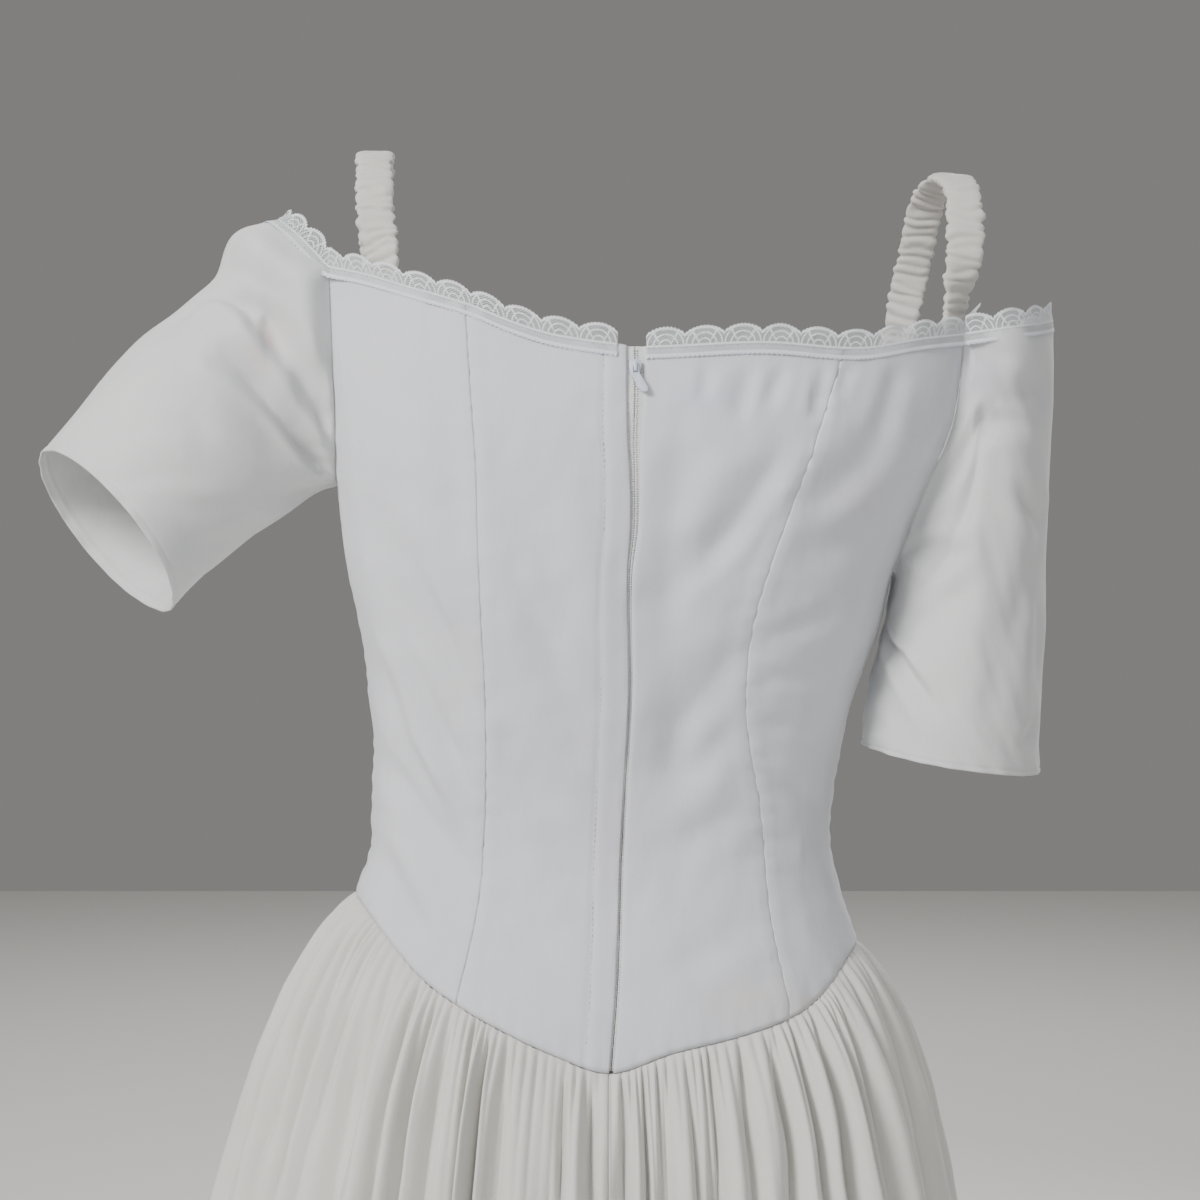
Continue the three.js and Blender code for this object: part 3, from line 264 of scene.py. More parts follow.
TORSO = Table(
    "z left right back front",
    [
        (-20, 174, 200, 60, 52), (-63, 168, 202, 79, 78), (-107, 162, 199, 91, 99),
        (-150, 156, 189, 98, 117), (-180, 152, 173, 99, 126), (-227, 145.5, 152, 96, 131),
        (-260, 138, 143.5, 90, 126), (-300, 133, 129, 81, 114), (-340, 132, 120.5, 73, 104),
        (-372, 133.5, 117.5, 70, 100), (-400, 141, 123, 73, 101), (-430, 152, 133, 80, 105),
        (-460, 160, 143, 88, 109), (-500, 167, 152, 97, 113),
    ],
)
BACK_PRINCESS = Table(
    "z left right",
    [
        (-90, 78, -124), (-120, 76, -116), (-175, 72, -98), (-220, 71, -81.5), (-256, 69.5, -71),
        (-300, 68, -68), (-357, 68.5, -77), (-407, 73, -81.5), (-455, 84, -91),
    ],
)
FRONT_PRINCESS = Table(
    "z off", [(-110, 98), (-180, 94), (-230, 90), (-300, 74), (-372, 61), (-455, 76)]
)
LAP_EDGE = Table(
    "z x gap",
    [
        (-100, -5.6, 8.4), (-136, -5.6, 8.4), (-160, -6, 6.4), (-176, -7.1, 4.8), (-204, -7.4, 4),
        (-230, -5.8, 2.4), (-290, -6.4, 2), (-373, -2.2, 2), (-440, 0, 2), (-490, 4, 2),
    ],
)
NECK_BACK = Table(
    "x z",
    [
        (-186, -107), (-163, -111), (-127, -118), (-77, -116), (-16, -119), (0, -117.5), (32, -112.5),
        (55, -105), (77, -95.5), (106, -86), (135, -76), (153, -71),
    ],
)
NECK_FRONT = Table(
    "x z", [(-183, -112), (-120, -128), (-60, -143), (0, -150), (60, -140), (110, -116), (150, -84)]
)
WAIST_SEAM = Table(
    "x z",
    [
        (-152, -424), (-128, -431), (-110, -449), (-95, -458.5), (-66, -467.5), (-29, -475.5),
        (3, -485), (32, -476.5), (65, -462), (83, -452.5), (101, -441), (114, -429), (130, -411.5),
        (146, -398),
    ],
)
# How far the lap's stitches stand from its edge, by the depth below the shoulders
STITCH_DROPS, STITCH_OFF = (100, 195, 230, 320, 480), (12, 13.5, 15, 14, 13)
# The back's widest drag lines, which its solids have too
BACK_DRAGS = (
    ((-70, -205), (-26, -236), 2.2, 15),
    ((-30, -250), (-33, -328), 3.0, 14),
    ((-66, -272), (-40, -322), 2.2, 13),
    ((116, -192), (76, -292), 2.6, 14),
    ((116, -324), (82, -392), 2.4, 13),
)


@dataclass(frozen=True)
class Bust:
    """The fullness that the front princess seams are cut for, on a general figure.

    Attributes:
        x: Its middle's distance from the dress's middle.
        z: Its middle's height.
        wide: How far it reaches to each side.
        high: How far it reaches up and down.
        out: How far it stands out.
    """

    x: float = 82
    z: float = -228
    wide: float = 44
    high: float = 58
    out: float = 13


@dataclass(frozen=True)
class Armhole:
    """An armhole of the bodice.

    Attributes:
        side: The angle of the side seam that it is centred on.
        back_x: Its back corner's distance from the middle.
        front_x: Its front corner's distance from the middle.
        lowest: The height of its lowest point.
        power: How square its lower edge is.
    """

    side: float
    back_x: float
    front_x: float
    lowest: float
    power: float


class Side(Enum):
    """The wearer's two sides."""

    LEFT = "left"
    RIGHT = "right"


ARMHOLES = {
    Side.LEFT: Armhole(0, 153, 150, -178, 3.2),
    Side.RIGHT: Armhole(math.pi, -186, -183, -226, 3),
}


@dataclass(frozen=True)
class BodyForm:
    """The form that the bodice keeps when worn, as a function of the angle round the body and the height.

    The angle is 0 at the left side, a quarter turn at the back and a half turn at the right side.

    Attributes:
        roundness: Power of the sections, where 2 is an ellipse.
        heading: How far the bodice's edge stands above the line in the neckline's tables.
        bust: The front's fullness.
        settle: How often a height that depends on its own place is worked out again.
    """

    roundness: float = 2.3
    heading: float = 7.5
    bust: Bust = Bust()
    settle: int = 8

    def point(self, theta: Array, z: Array) -> Array:
        """Points of the bodice's outer face.

        Args:
            theta: Angles round the body.
            z: Heights.

        Returns:
            The points.
        """
        theta, z = np.broadcast_arrays(np.asarray(theta, float), np.asarray(z, float))
        c, s = np.cos(theta), np.sin(theta)
        wide = np.where(c > 0, TORSO.at("left", z), TORSO.at("right", z))
        deep = np.where(s > 0, TORSO.at("back", z), TORSO.at("front", z))
        x = wide * signed_power(c, 2 / self.roundness)
        y = deep * signed_power(s, 2 / self.roundness)
        drag = np.zeros_like(x)
        for (from_x, from_z), (to_x, to_z), depth, width in BACK_DRAGS:
            dx, dz = to_x - from_x, to_z - from_z
            t = np.clip(((x - from_x) * dx + (z - from_z) * dz) / (dx**2 + dz**2), 0, 1)
            drag += depth * bump(np.hypot(x - from_x - t * dx, z - from_z - t * dz), width)
        fullness = bump(np.abs(x) - self.bust.x, self.bust.wide) * bump(z - self.bust.z, self.bust.high)
        y = y - np.where(s > 0, drag * s, 0) + np.where(s < 0, self.bust.out * fullness * s, 0)
        return np.stack([x, y, z], axis=-1)

    def normal(self, theta: Array, z: Array) -> Array:
        """Directions straight out of the bodice's face."""
        along = self.point(theta + 0.002, z) - self.point(theta - 0.002, z)
        up = self.point(theta, z + 0.5) - self.point(theta, z - 0.5)
        return unit(np.cross(along, up))

    def angle(self, x: Array, z: Array, facing: int) -> Array:
        """Angles at distances from the middle, on the back (facing 1) or the front (facing -1)."""
        wide = np.where(np.asarray(x) > 0, TORSO.at("left", z), TORSO.at("right", z))
        return facing * np.arccos(signed_power(np.clip(x / wide, -1, 1), self.roundness / 2))

    def neckline(self, theta: Array) -> Array:
        """Heights of the bodice's edge on the neckline at angles round the body."""
        z = np.full(np.shape(theta), NECK)
        for _ in range(self.settle):
            x = self.point(theta, z)[..., 0]
            z = np.where(np.sin(theta) > 0, NECK_BACK.at("z", x), NECK_FRONT.at("z", x)) + self.heading
        return z

    def waist(self, theta: Array) -> Array:
        """Heights of the waist seam at angles round the body."""
        z = np.full(np.shape(theta), WAIST)
        for _ in range(self.settle):
            z = WAIST_SEAM.at("z", self.point(theta, z)[..., 0])
        return z

    @cache
    def corner(self, side: Side, facing: int) -> float:
        """The angle where an armhole meets the neckline.

        Args:
            side: Which armhole.
            facing: 1 for its back corner and -1 for its front corner.

        Returns:
            The angle round the body.
        """
        armhole = ARMHOLES[side]
        x = armhole.back_x if facing > 0 else armhole.front_x
        z = np.array(NECK)
        for _ in range(self.settle):
            z = self.neckline(self.angle(x, z, facing))
        return float(self.angle(x, z, facing))

    def armhole(self, side: Side, facing: int, theta: Array) -> Array:
        """Heights of an armhole's edge between its side seam and its back or front corner.

        Args:
            side: Which armhole.
            facing: 1 for its back half and -1 for its front half.
            theta: Angles round the body.

        Returns:
            The heights there.
        """
        hole, corner = ARMHOLES[side], self.corner(side, facing)
        seam = hole.side * facing
        share = np.clip((theta - seam) / (corner - seam), 0, 1)
        top = float(self.neckline(np.array(corner)))
        return hole.lowest + (top - hole.lowest) * share**hole.power


FORM = BodyForm()


def place_piece(
    name: str, bm: BMesh, material: Material, body: str = BODY
) -> Object:
    """Makes a named object from a mesh and puts it on its body.

    Args:
        name: The piece's name.
        bm: The mesh, in metres, which is used up.
        material: The finish's material.
        body: The body that it rides on.

    Returns:
        The new object.
    """
    mesh = bpy.data.meshes.new(name)
    bm.to_mesh(mesh)
    bm.free()
    mesh.materials.append(material)
    mesh.shade_smooth()
    obj = bpy.data.objects.new(name, mesh)
    bpy.context.scene.collection.objects.link(obj)
    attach(obj, body)
    return obj


@dataclass(frozen=True)
class ClothGrid:
    """A sheet of cloth as a grid of points that is bent to a form.

    Attributes:
        points: Rows of points of its outer face, in millimetres.
        outward: Rows of directions away from the body.
        flat: Rows of places on the flat cloth, in millimetres.
        closed: Whether each row's end is sewn to its start.
    """

    points: Array
    outward: Array
    flat: Array
    closed: bool = False

    def mesh(self, thick: float = 0.0) -> BMesh:
        """The cloth as a mesh.

        Args:
            thick: Its thickness in millimetres, laid on inside its face, or 0 for one bare face.

        Returns:
            The mesh, in metres, with its flat places as its UV map.
        """
        rows, columns = self.points.shape[:2]
        bm = bmesh.new()
        bm.loops.layers.uv.new("UVMap")
        bmesh.ops.create_grid(bm, x_segments=columns - 1, y_segments=rows - 1, size=1.0, calc_uvs=True)
        bm.verts.ensure_lookup_table()
        places = np.array([v.co[:2] for v in bm.verts])
        column = np.rint((places[:, 0] + 1) / 2 * (columns - 1)).astype(int)
        row = np.rint((places[:, 1] + 1) / 2 * (rows - 1)).astype(int)
        at, uv = self.points[row, column] * MM, self.flat[row, column]
        for vert, place in zip(bm.verts, at.tolist()):
            vert.co = place
        layer = bm.loops.layers.uv["UVMap"]
        for face in bm.faces:
            for loop in face.loops:
                loop[layer].uv = uv[loop.vert.index]
        self.turn_outward(bm, row, column)
        if self.closed:
            bmesh.ops.remove_doubles(bm, verts=bm.verts, dist=1e-6)
        if thick:
            bmesh.ops.solidify(bm, geom=bm.faces, thickness=thick * MM)
        return bm

    def turn_outward(self, bm: BMesh, row: Array, column: Array) -> None:
        """Turns the faces over where they look at the body.

        Args:
            bm: The mesh.
            row: Each point's row in the grid.
            column: Each point's column.
        """
        bm.normal_update()
        agree = 0.0
        tried = 400
        for face in list(bm.faces)[:: max(len(bm.faces) // tried, 1)]:
            index = face.verts[0].index
            agree += face.normal.dot(Vector(self.outward[row[index], column[index]].tolist()))
        if agree < 0:
            bmesh.ops.reverse_faces(bm, faces=bm.faces)


def ring_normals(points: Array, outward: Array) -> Array:
    """Directions straight out of a grid of points whose rows end where they start.

    Args:
        points: Rows of points.
        outward: Rows of directions that roughly point out.

    Returns:
        Rows of directions that are one long.
    """
    wide = np.concatenate([points[:, -2:-1], points, points[:, 1:2]], axis=1)
    along = wide[:, 2:] - wide[:, :-2]
    down = np.gradient(points, axis=0)
    normals = unit(np.cross(along, down))
    return normals * (1 if np.median(np.sum(normals * outward, axis=-1)) > 0 else -1)


def smoothed(rows: Array, times: int) -> Array:
    """Rows of vectors averaged with their neighbours, where each row ends where it starts.

    Args:
        rows: The rows.
        times: How often they are averaged.

    Returns:
        The new rows, with the first and the last one averaged only along themselves.
    """
    for _ in range(times):
        body = rows[:, :-1]
        body = (np.roll(body, 1, 1) + 2 * body + np.roll(body, -1, 1)) / 4
        rows = np.concatenate([body, body[:, :1]], axis=1)
        rows = np.concatenate([rows[:1], (rows[:-2] + 2 * rows[1:-1] + rows[2:]) / 4, rows[-1:]], 0)
    return rows


@dataclass(frozen=True)
class Panel:
    """One panel of the bodice, between two seams.

    Attributes:
        name: Its node's name.
        start: Its first seam, as the angle at a height.
        end: Its other seam.
        facing: 1 on the back and -1 on the front.
        creases: Its creases, on distances from the middle and heights.
        flat: Its flat cloth's width and length with turnings, and its cut area.
        armhole: The armhole that it reaches, if any.
        hem_start: Whether its first seam is a free edge.
        hem_end: Whether its other seam is one.
    """

    name: str
    start: Callable[[Array], Array]
    end: Callable[[Array], Array]
    facing: int
    creases: tuple[Crease, ...]
    flat: Point
    armhole: Side | None = None
    hem_start: bool = False
    hem_end: bool = False


def side_seam(angle: float) -> Callable[[Array], Array]:
    """A seam that stays at one angle, as a function of the height."""

    def same(z: Array) -> Array:
        """The one angle, for each height."""
        return np.full(np.shape(z), angle)

    return same


def shaped_seam(
    table: Table, column: str, facing: int, sign: int = 1, less: str | None = None
) -> Callable[[Array], Array]:
    """A seam that a table places.

    Args:
        table: The table, by height.
        column: Its column of distances from the middle.
        facing: 1 for the back and -1 for the front.
        sign: -1 to mirror it.
        less: A column that is taken off, if any.

    Returns:
        The seam's angle as a function of the height.
    """

    def angle(z: Array) -> Array:
        """The seam's angle at some heights."""
        x = sign * table.at(column, z) - (table.at(less, z) if less else 0)
        return FORM.angle(x, z, facing)

    return angle


LEFT_CREASES = (
    Crease(
        ((108, -212), (101, -233), (91, -255), (81, -282), (75, -300), (69, -315)), 1.5, 4.6, 0.35, 0.4, 0.4
    ),
    Crease(
        ((118, -248), (112, -268), (104, -284), (95, -302), (88, -318), (73, -352)), 1.8, 5, 0.3, 0.5, 0.4
    ),
    Crease(
        ((130, -262), (122, -284), (117, -300), (111, -318), (102, -333), (86, -359)), 2.0, 5, 0.3, 0.5, 0.4
    ),
    Crease(((126, -318), (113, -341), (104, -354), (94, -372)), 1.6, 4.6, 0.3, 0.4, 0.3),
    Crease(((60, -220), (50, -239), (32, -271), (25, -284), (16, -302)), 1.3, 7, 0.2, 0.3, 0.2),
    Crease(((140, -178), (118, -218), (101, -252), (75, -294)), 2.4, 10),
    Crease(((134, -212), (112, -252), (92, -296), (70, -340)), 2.2, 9, 0.2),
    Crease(((122, -314), (96, -360), (76, -396)), 2.9, 10, 0.3),
    Crease(((134, -366), (116, -396), (96, -430)), 2.5, 9, 0.3),
    Crease(((126, -270), (104, -306), (78, -336)), 1.8, 8),
    Crease(((88, -128), (84, -190), (74, -250)), 1.4, 9),
    Crease(((60, -135), (50, -190), (34, -240), (26, -300)), 1.4, 11),
    Crease(((40, -150), (30, -220), (18, -262)), 1, 9),
    Crease(((66, -300), (46, -336), (20, -360)), 1.5, 10),
    Crease(((70, -390), (50, -412), (22, -430)), 1.4, 9),
)
RIGHT_CREASES = (
    Crease(((-48, -119), (-46, -130), (-44, -142)), 1, 3.5),
    Crease(((-70, -119), (-66, -136), (-61, -154)), 1.3, 4.5, 0.2),
    Crease(((-88, -119), (-82, -132), (-77, -146)), 1.1, 4),
    Crease(((-110, -119), (-106, -134), (-102, -152)), 1.2, 4),
    Crease(((-124, -117), (-119, -126), (-114, -138)), 0.9, 3.5),
    Crease(((-151, -114), (-144, -134), (-136, -162)), 1.4, 5.5),
    Crease(((-39, -140), (-31, -184), (-27, -224), (-24, -262)), 1.3, 8),
    Crease(((-92, -150), (-78, -178), (-58, -208), (-40, -226), (-22, -238)), 2.3, 8, 0.3, 0.4, 0.2),
    Crease(((-143, -143), (-130, -168), (-112, -186), (-92, -200)), 2.2, 9, 0.2),
    Crease(((-69, -258), (-50, -284), (-32, -312), (-24, -356)), 1.8, 9, 0.3, 0.35, 0.2),
    Crease(((-66, -304), (-48, -324), (-28, -344)), 1.2, 7),
    Crease(((-74, -340), (-50, -362), (-24, -376)), 1.1, 8),
    Crease(((-84, -400), (-56, -420), (-24, -436)), 1, 9),
    Crease(((-84, -226), (-112, -214), (-142, -200)), 1.5, 9),
    Crease(((-72, -262), (-96, -256), (-124, -246)), 1.1, 5, 0, 0.35, 0.3),
    Crease(((-70, -284), (-92, -282), (-116, -284)), 1, 4.5, 0, 0.35, 0.3),
    Crease(((-71, -306), (-92, -308), (-112, -316)), 1, 4.5, 0, 0.35, 0.3),
    Crease(((-74, -334), (-94, -342), (-112, -356)), 1.1, 5.5),
    Crease(((-84, -380), (-100, -392), (-116, -408)), 1, 7),
)
FRONT_CREASES = (
    Crease(((92, -250), (66, -282), (44, -300)), 1.5, 9),
    Crease(((-92, -246), (-70, -284), (-40, -306)), 1.4, 9),
    Crease(((64, -330), (34, -350), (6, -356)), 1.4, 9),
    Crease(((-66, -322), (-38, -344), (-10, -352)), 1.3, 9),
    Crease(((58, -384), (30, -396), (2, -402)), 1.1, 8),
    Crease(((-60, -380), (-34, -398), (-8, -408)), 1.1, 8),
    Crease(((126, -196), (108, -236), (96, -262)), 1.6, 9),
    Crease(((-150, -236), (-122, -262), (-98, -280)), 1.6, 9),
    Crease(((120, -312), (96, -330), (72, -340)), 1.4, 8),
    Crease(((-116, -318), (-94, -334), (-70, -344)), 1.4, 8),
    Crease(((52, -160), (30, -186), (6, -196)), 1.1, 9),
    Crease(((-56, -166), (-34, -190), (-12, -200)), 1, 9),
)

# The right side seam, as the back and the front panel count its angle
BACK_SIDE, FRONT_SIDE = side_seam(math.pi), side_seam(-math.pi)
LEFT_SIDE = side_seam(0.0)
LEFT_BACK_SEAM = shaped_seam(BACK_PRINCESS, "left", 1)
RIGHT_BACK_SEAM = shaped_seam(BACK_PRINCESS, "right", 1)
RIGHT_FRONT_SEAM = shaped_seam(FRONT_PRINCESS, "off", -1, sign=-1)
LEFT_FRONT_SEAM = shaped_seam(FRONT_PRINCESS, "off", -1)
LAP_FOLD = shaped_seam(LAP_EDGE, "x", 1)
UNDER_LAP = shaped_seam(LAP_EDGE, "x", 1, less="gap")
PANELS = (
    Panel("side_back_left", LEFT_SIDE, LEFT_BACK_SEAM, 1, LEFT_CREASES, (150, 385, 41700), Side.LEFT),
    Panel("centre_back_left", LEFT_BACK_SEAM, LAP_FOLD, 1, LEFT_CREASES, (125, 430, 40500), hem_end=True),
    Panel(
        "centre_back_right", UNDER_LAP, RIGHT_BACK_SEAM, 1, RIGHT_CREASES, (135, 410, 37000), hem_start=True
    ),
    Panel("side_back_right", RIGHT_BACK_SEAM, BACK_SIDE, 1, RIGHT_CREASES, (150, 385, 36000), Side.RIGHT),
    Panel(
        "side_front_right", FRONT_SIDE, RIGHT_FRONT_SEAM, -1, FRONT_CREASES, (170, 385, 44000), Side.RIGHT
    ),
    Panel("centre_front", RIGHT_FRONT_SEAM, LEFT_FRONT_SEAM, -1, FRONT_CREASES, (230, 385, 62500)),
    Panel("side_front_left", LEFT_FRONT_SEAM, LEFT_SIDE, -1, FRONT_CREASES, (170, 395, 43300), Side.LEFT),
)


@dataclass(frozen=True)
class PanelLoft:
    """Places a panel's points on the bodice's form.

    Attributes:
        panel: The panel.
        columns: How many steps it has across.
        rows: How many steps it has down.
        seam_gap: The room between two sewn edges of the solids.
        settle: How often the edges' heights are worked out again.
    """

    panel: Panel
    columns: int
    rows: int
    seam_gap: float = 0.06
    settle: int = 60

    def angles(self, across: Array, z: Array) -> Array:
        """The angles of some places.

        Args:
            across: Shares of the panel's width.
            z: Heights.

        Returns:
            The angles round the body.
        """
        start, end = self.panel.start(z), self.panel.end(z)
        apart = np.linalg.norm(FORM.point(start, z) - FORM.point(end, z), axis=-1)
        inset = self.seam_gap / 2 * (end - start) / apart
        return (start + inset) * (1 - across) + (end - inset) * across

    def top_edge(self, theta: Array) -> Array:
        """Heights of the neckline, or of the armhole beyond its corner, at angles round the body."""
        neck = FORM.neckline(theta)
        if self.panel.armhole is None:
            return neck
        side, facing = self.panel.armhole, self.panel.facing
        seam, corner = ARMHOLES[side].side, FORM.corner(side, facing)
        beyond = np.abs(np.abs(theta) - seam) < abs(abs(corner) - seam)
        return np.where(beyond, FORM.armhole(side, facing, theta), neck)

    def edge(self, across: Array, start: float, height: Callable[[Array], Array]) -> Array:
        """Works out an edge whose height depends on the angle.

        Args:
            across: Shares of the panel's width.
            start: A first guess at the height.
            height: The edge's height at an angle.

        Returns:
            The heights at those shares.
        """
        z = np.full(across.shape, start)
        for _ in range(self.settle):
            z = 0.6 * z + 0.4 * height(self.angles(across, z))
        return z

    def corner_share(self) -> tuple[float, bool]:
        """The armhole's corner as a share of the panel's width, and whether its first seam is the side's."""
        corner = FORM.corner(self.panel.armhole, self.panel.facing)
        z = np.array(float(FORM.neckline(np.array(corner))))
        start, end = float(self.panel.start(z)), float(self.panel.end(z))
        side_first = abs(abs(start) - ARMHOLES[self.panel.armhole].side) < 1e-6
        return (corner - start) / (end - start), side_first

    def stops(self) -> Array:
        """Shares of the panel's width where its columns stand: closer near seams, and one at the corner."""
        even = np.linspace(0, 1, self.columns + 1)
        close = even - 0.55 * np.sin(TURN * even) / TURN
        if self.panel.armhole is not None:
            share, _ = self.corner_share()
            close[int(np.argmin(np.abs(close - share)))] = share
        return close

    def grid(self) -> tuple[Array, Array]:
        """The panel's points and the way out of each."""
        across = self.stops()
        top = self.edge(across, NECK, self.top_edge) - self.seam_gap / 2
        bottom = self.edge(across, WAIST, FORM.waist) + self.seam_gap / 2
        down = np.linspace(0, 1, self.rows + 1)[:, None]
        z = top * (1 - down) + bottom * down
        theta = self.angles(np.broadcast_to(across, z.shape), z)
        return FORM.point(theta, z), FORM.normal(theta, z)


def distances(points: Array, axis: int) -> Array:
    """How far each point of a grid lies from the first one of its row (axis 1) or its column (axis 0)."""
    steps = np.linalg.norm(np.diff(points, axis=axis), axis=-1)
    start = np.zeros((1, points.shape[1]) if axis == 0 else (points.shape[0], 1))
    return np.concatenate([start, np.cumsum(steps, axis=axis)], axis=axis)


@dataclass
class Bodice:
    """The bodice's panels, with their seams drawn in, their puckers and their creases.

    Attributes:
        thick: The shell's thickness, close to that of a cloth with its turnings.
        seam_deep: How far a sewn edge is drawn in.
        seam_wide: How far that reaches.
        pucker: The height of the small puckers along a seam.
        soften: How strongly the fine unevenness shows.
        crease: How much deeper the creases are than in their lists.
        columns: Steps across a panel.
        rows: Steps down it.
    """

    thick: float = 0.9
    seam_deep: float = 0.32
    seam_wide: float = 1.1
    pucker: float = 0.5
    soften: float = 0.36
    crease: float = 1.25
    columns: int = 56
    rows: int = 120

    def displacement(self, panel: Panel, points: Array) -> Array:
        """How far the cloth stands out from its form.

        Args:
            panel: The panel.
            points: Its points on the form.

        Returns:
            The heights.
        """
        x, y, z = points[..., 0], points[..., 1], points[..., 2]
        flank = 100
        round_body = np.where(np.abs(x) > flank, np.sign(x) * (flank + np.abs(y)), x)
        across, down = distances(points, 1), distances(points, 0)
        first, last, bottom = across, across[:, -1:] - across, down[-1:] - down
        height = -self.crease * creased(panel.creases, x, z)
        coarse, fine = ripple(round_body, z, 34, 3), ripple(round_body, z * 0.8, 15, 4)
        height += self.soften * coarse + 0.5 * self.soften * fine
        for distance, free, seed in ((first, panel.hem_start, 5), (last, panel.hem_end, 6)):
            if free:
                continue
            strength = 0.35 + 0.65 * smoothstep(ripple(z, z * 0, 60, seed), -0.7, 0.7)
            wave = np.sin(z * TURN / 11 + 2.2 * ripple(z, z * 0, 40, seed + 9) + 0.05 * distance)
            height += self.pucker * strength * wave * np.exp(-distance / 9)
            height -= self.seam_deep * bump(distance, self.seam_wide)
            height += 0.22 * bump(distance - 5.5, 3.2)
        height -= 0.6 * bump(bottom, 1.3)
        height += 0.3 * np.sin(round_body * TURN / 9) * np.exp(-bottom / 7)
        return height

    def lap(self, points: Array, height: Array) -> Array:
        """The height with the lap's rounded edge and the dimple of its stitching.

        Args:
            points: The panel's points.
            height: Its height so far.

        Returns:
            The new height.
        """
        z = points[..., 2]
        across = distances(points, 1)
        from_edge = across[:, -1:] - across
        stitch = np.interp(-z[..., 0:1], STITCH_DROPS, STITCH_OFF)
        band = smoothstep(from_edge, 0, 2.4)
        wave = ripple(z, z * 0, 26, 12) * np.exp(-from_edge / 14)
        height = height - 0.45 * (1 - band) - 0.75 * bump(from_edge - stitch, 1.3)
        height += 0.35 * bump(from_edge - stitch + 4.5, 4) + 0.5 * wave * smoothstep(from_edge, 0, 3)
        pucker = np.sin(z * TURN / 8.5 + ripple(z, z * 0, 30, 14))
        return height + 0.3 * pucker * bump(from_edge - stitch, 3)

    def build(self, cloth: Material) -> list[Object]:
        """Builds the seven panels.

        Args:
            cloth: The bodice's cotton.

        Returns:
            The panels' objects.
        """
        pieces = []
        for panel in PANELS:
            loft = PanelLoft(panel, self.columns, self.rows)
            points, out = loft.grid()
            height = self.displacement(panel, points)
            if panel.hem_end:
                height = self.lap(points, height)
            if panel.hem_start:
                height -= 0.5 * (1 - smoothstep(distances(points, 1), 0, 2))
            points = points + out * height[..., None]
            flat = np.stack([distances(points, 1), -distances(points, 0)], axis=-1)
            grid = ClothGrid(points, out, flat)
            piece = place_piece(f"{panel.name}_cloth", grid.mesh(self.thick), cloth)
            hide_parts(panel.name)
            wide, long, area = panel.flat
            wide * MM
            long * MM
            area * MM * MM
            pieces.append(piece)
        return pieces


SKIRT_FLARE = Table(
    "drop left right back front",
    [
        (0, 0, 0, 0, 0), (12, 11, 8, 5, 4), (30, 21.5, 17, 12, 9), (55, 33, 26, 20, 15),
        (95, 47.8, 37, 31, 24), (172, 69.7, 52, 49, 38), (400, 128, 98, 100, 80),
        (700, 200, 158, 165, 135), (1000, 269, 216, 229, 190),
    ],
)
SKIRT_WAVES = Table(
    "drop gather pleat fold",
    [
        (0, 1.0, 0.2, 0), (6, 2.1, 1.0, 0.4), (16, 2.0, 2.4, 1.2), (30, 1.3, 3.6, 2.4),
        (52, 0.7, 4.4, 4.4), (95, 0.4, 4.0, 7.2), (190, 0.2, 3.0, 10.4), (380, 0, 1.8, 13.8),
        (680, 0, 1.2, 17.6), (1000, 0, 0.8, 20.5),
    ],
)


def swings(table: Sequence[Point], share: Array) -> Array:
    """A slow uneven swing that is 0 at the start.

    Args:
        table: Rows of how often it swings, how far, and the angle that it starts at.
        share: Shares of the way.

    Returns:
        The swing there.
    """
    total = np.zeros(np.shape(share))
    for times, swing, start in table:
        total = total + swing * (np.sin(TURN * times * share + start) - math.sin(start))
    return total


def gathered(turn: Array, sharp: float) -> Array:
    """Round ridges up to 1, one for each full turn, and valleys down to -1, narrower for a low sharp."""
    return 2 * np.abs(np.sin(turn / 2)) ** sharp - 1


@dataclass(frozen=True)
class SkirtPiece:
    """One piece of the skirt between two seams.

    Attributes:
        name: Its node's name.
        start: Its first seam's place on the waist line.
        end: Its other seam's place there.
        first: The first seam's number of gathers.
        last: The other seam's number.
        columns: How many steps it has round the body.
        flat: Its cloth's flat width and length, and its area.
    """

    name: str
    start: float
    end: float
    first: int
    last: int
    columns: int
    flat: Point


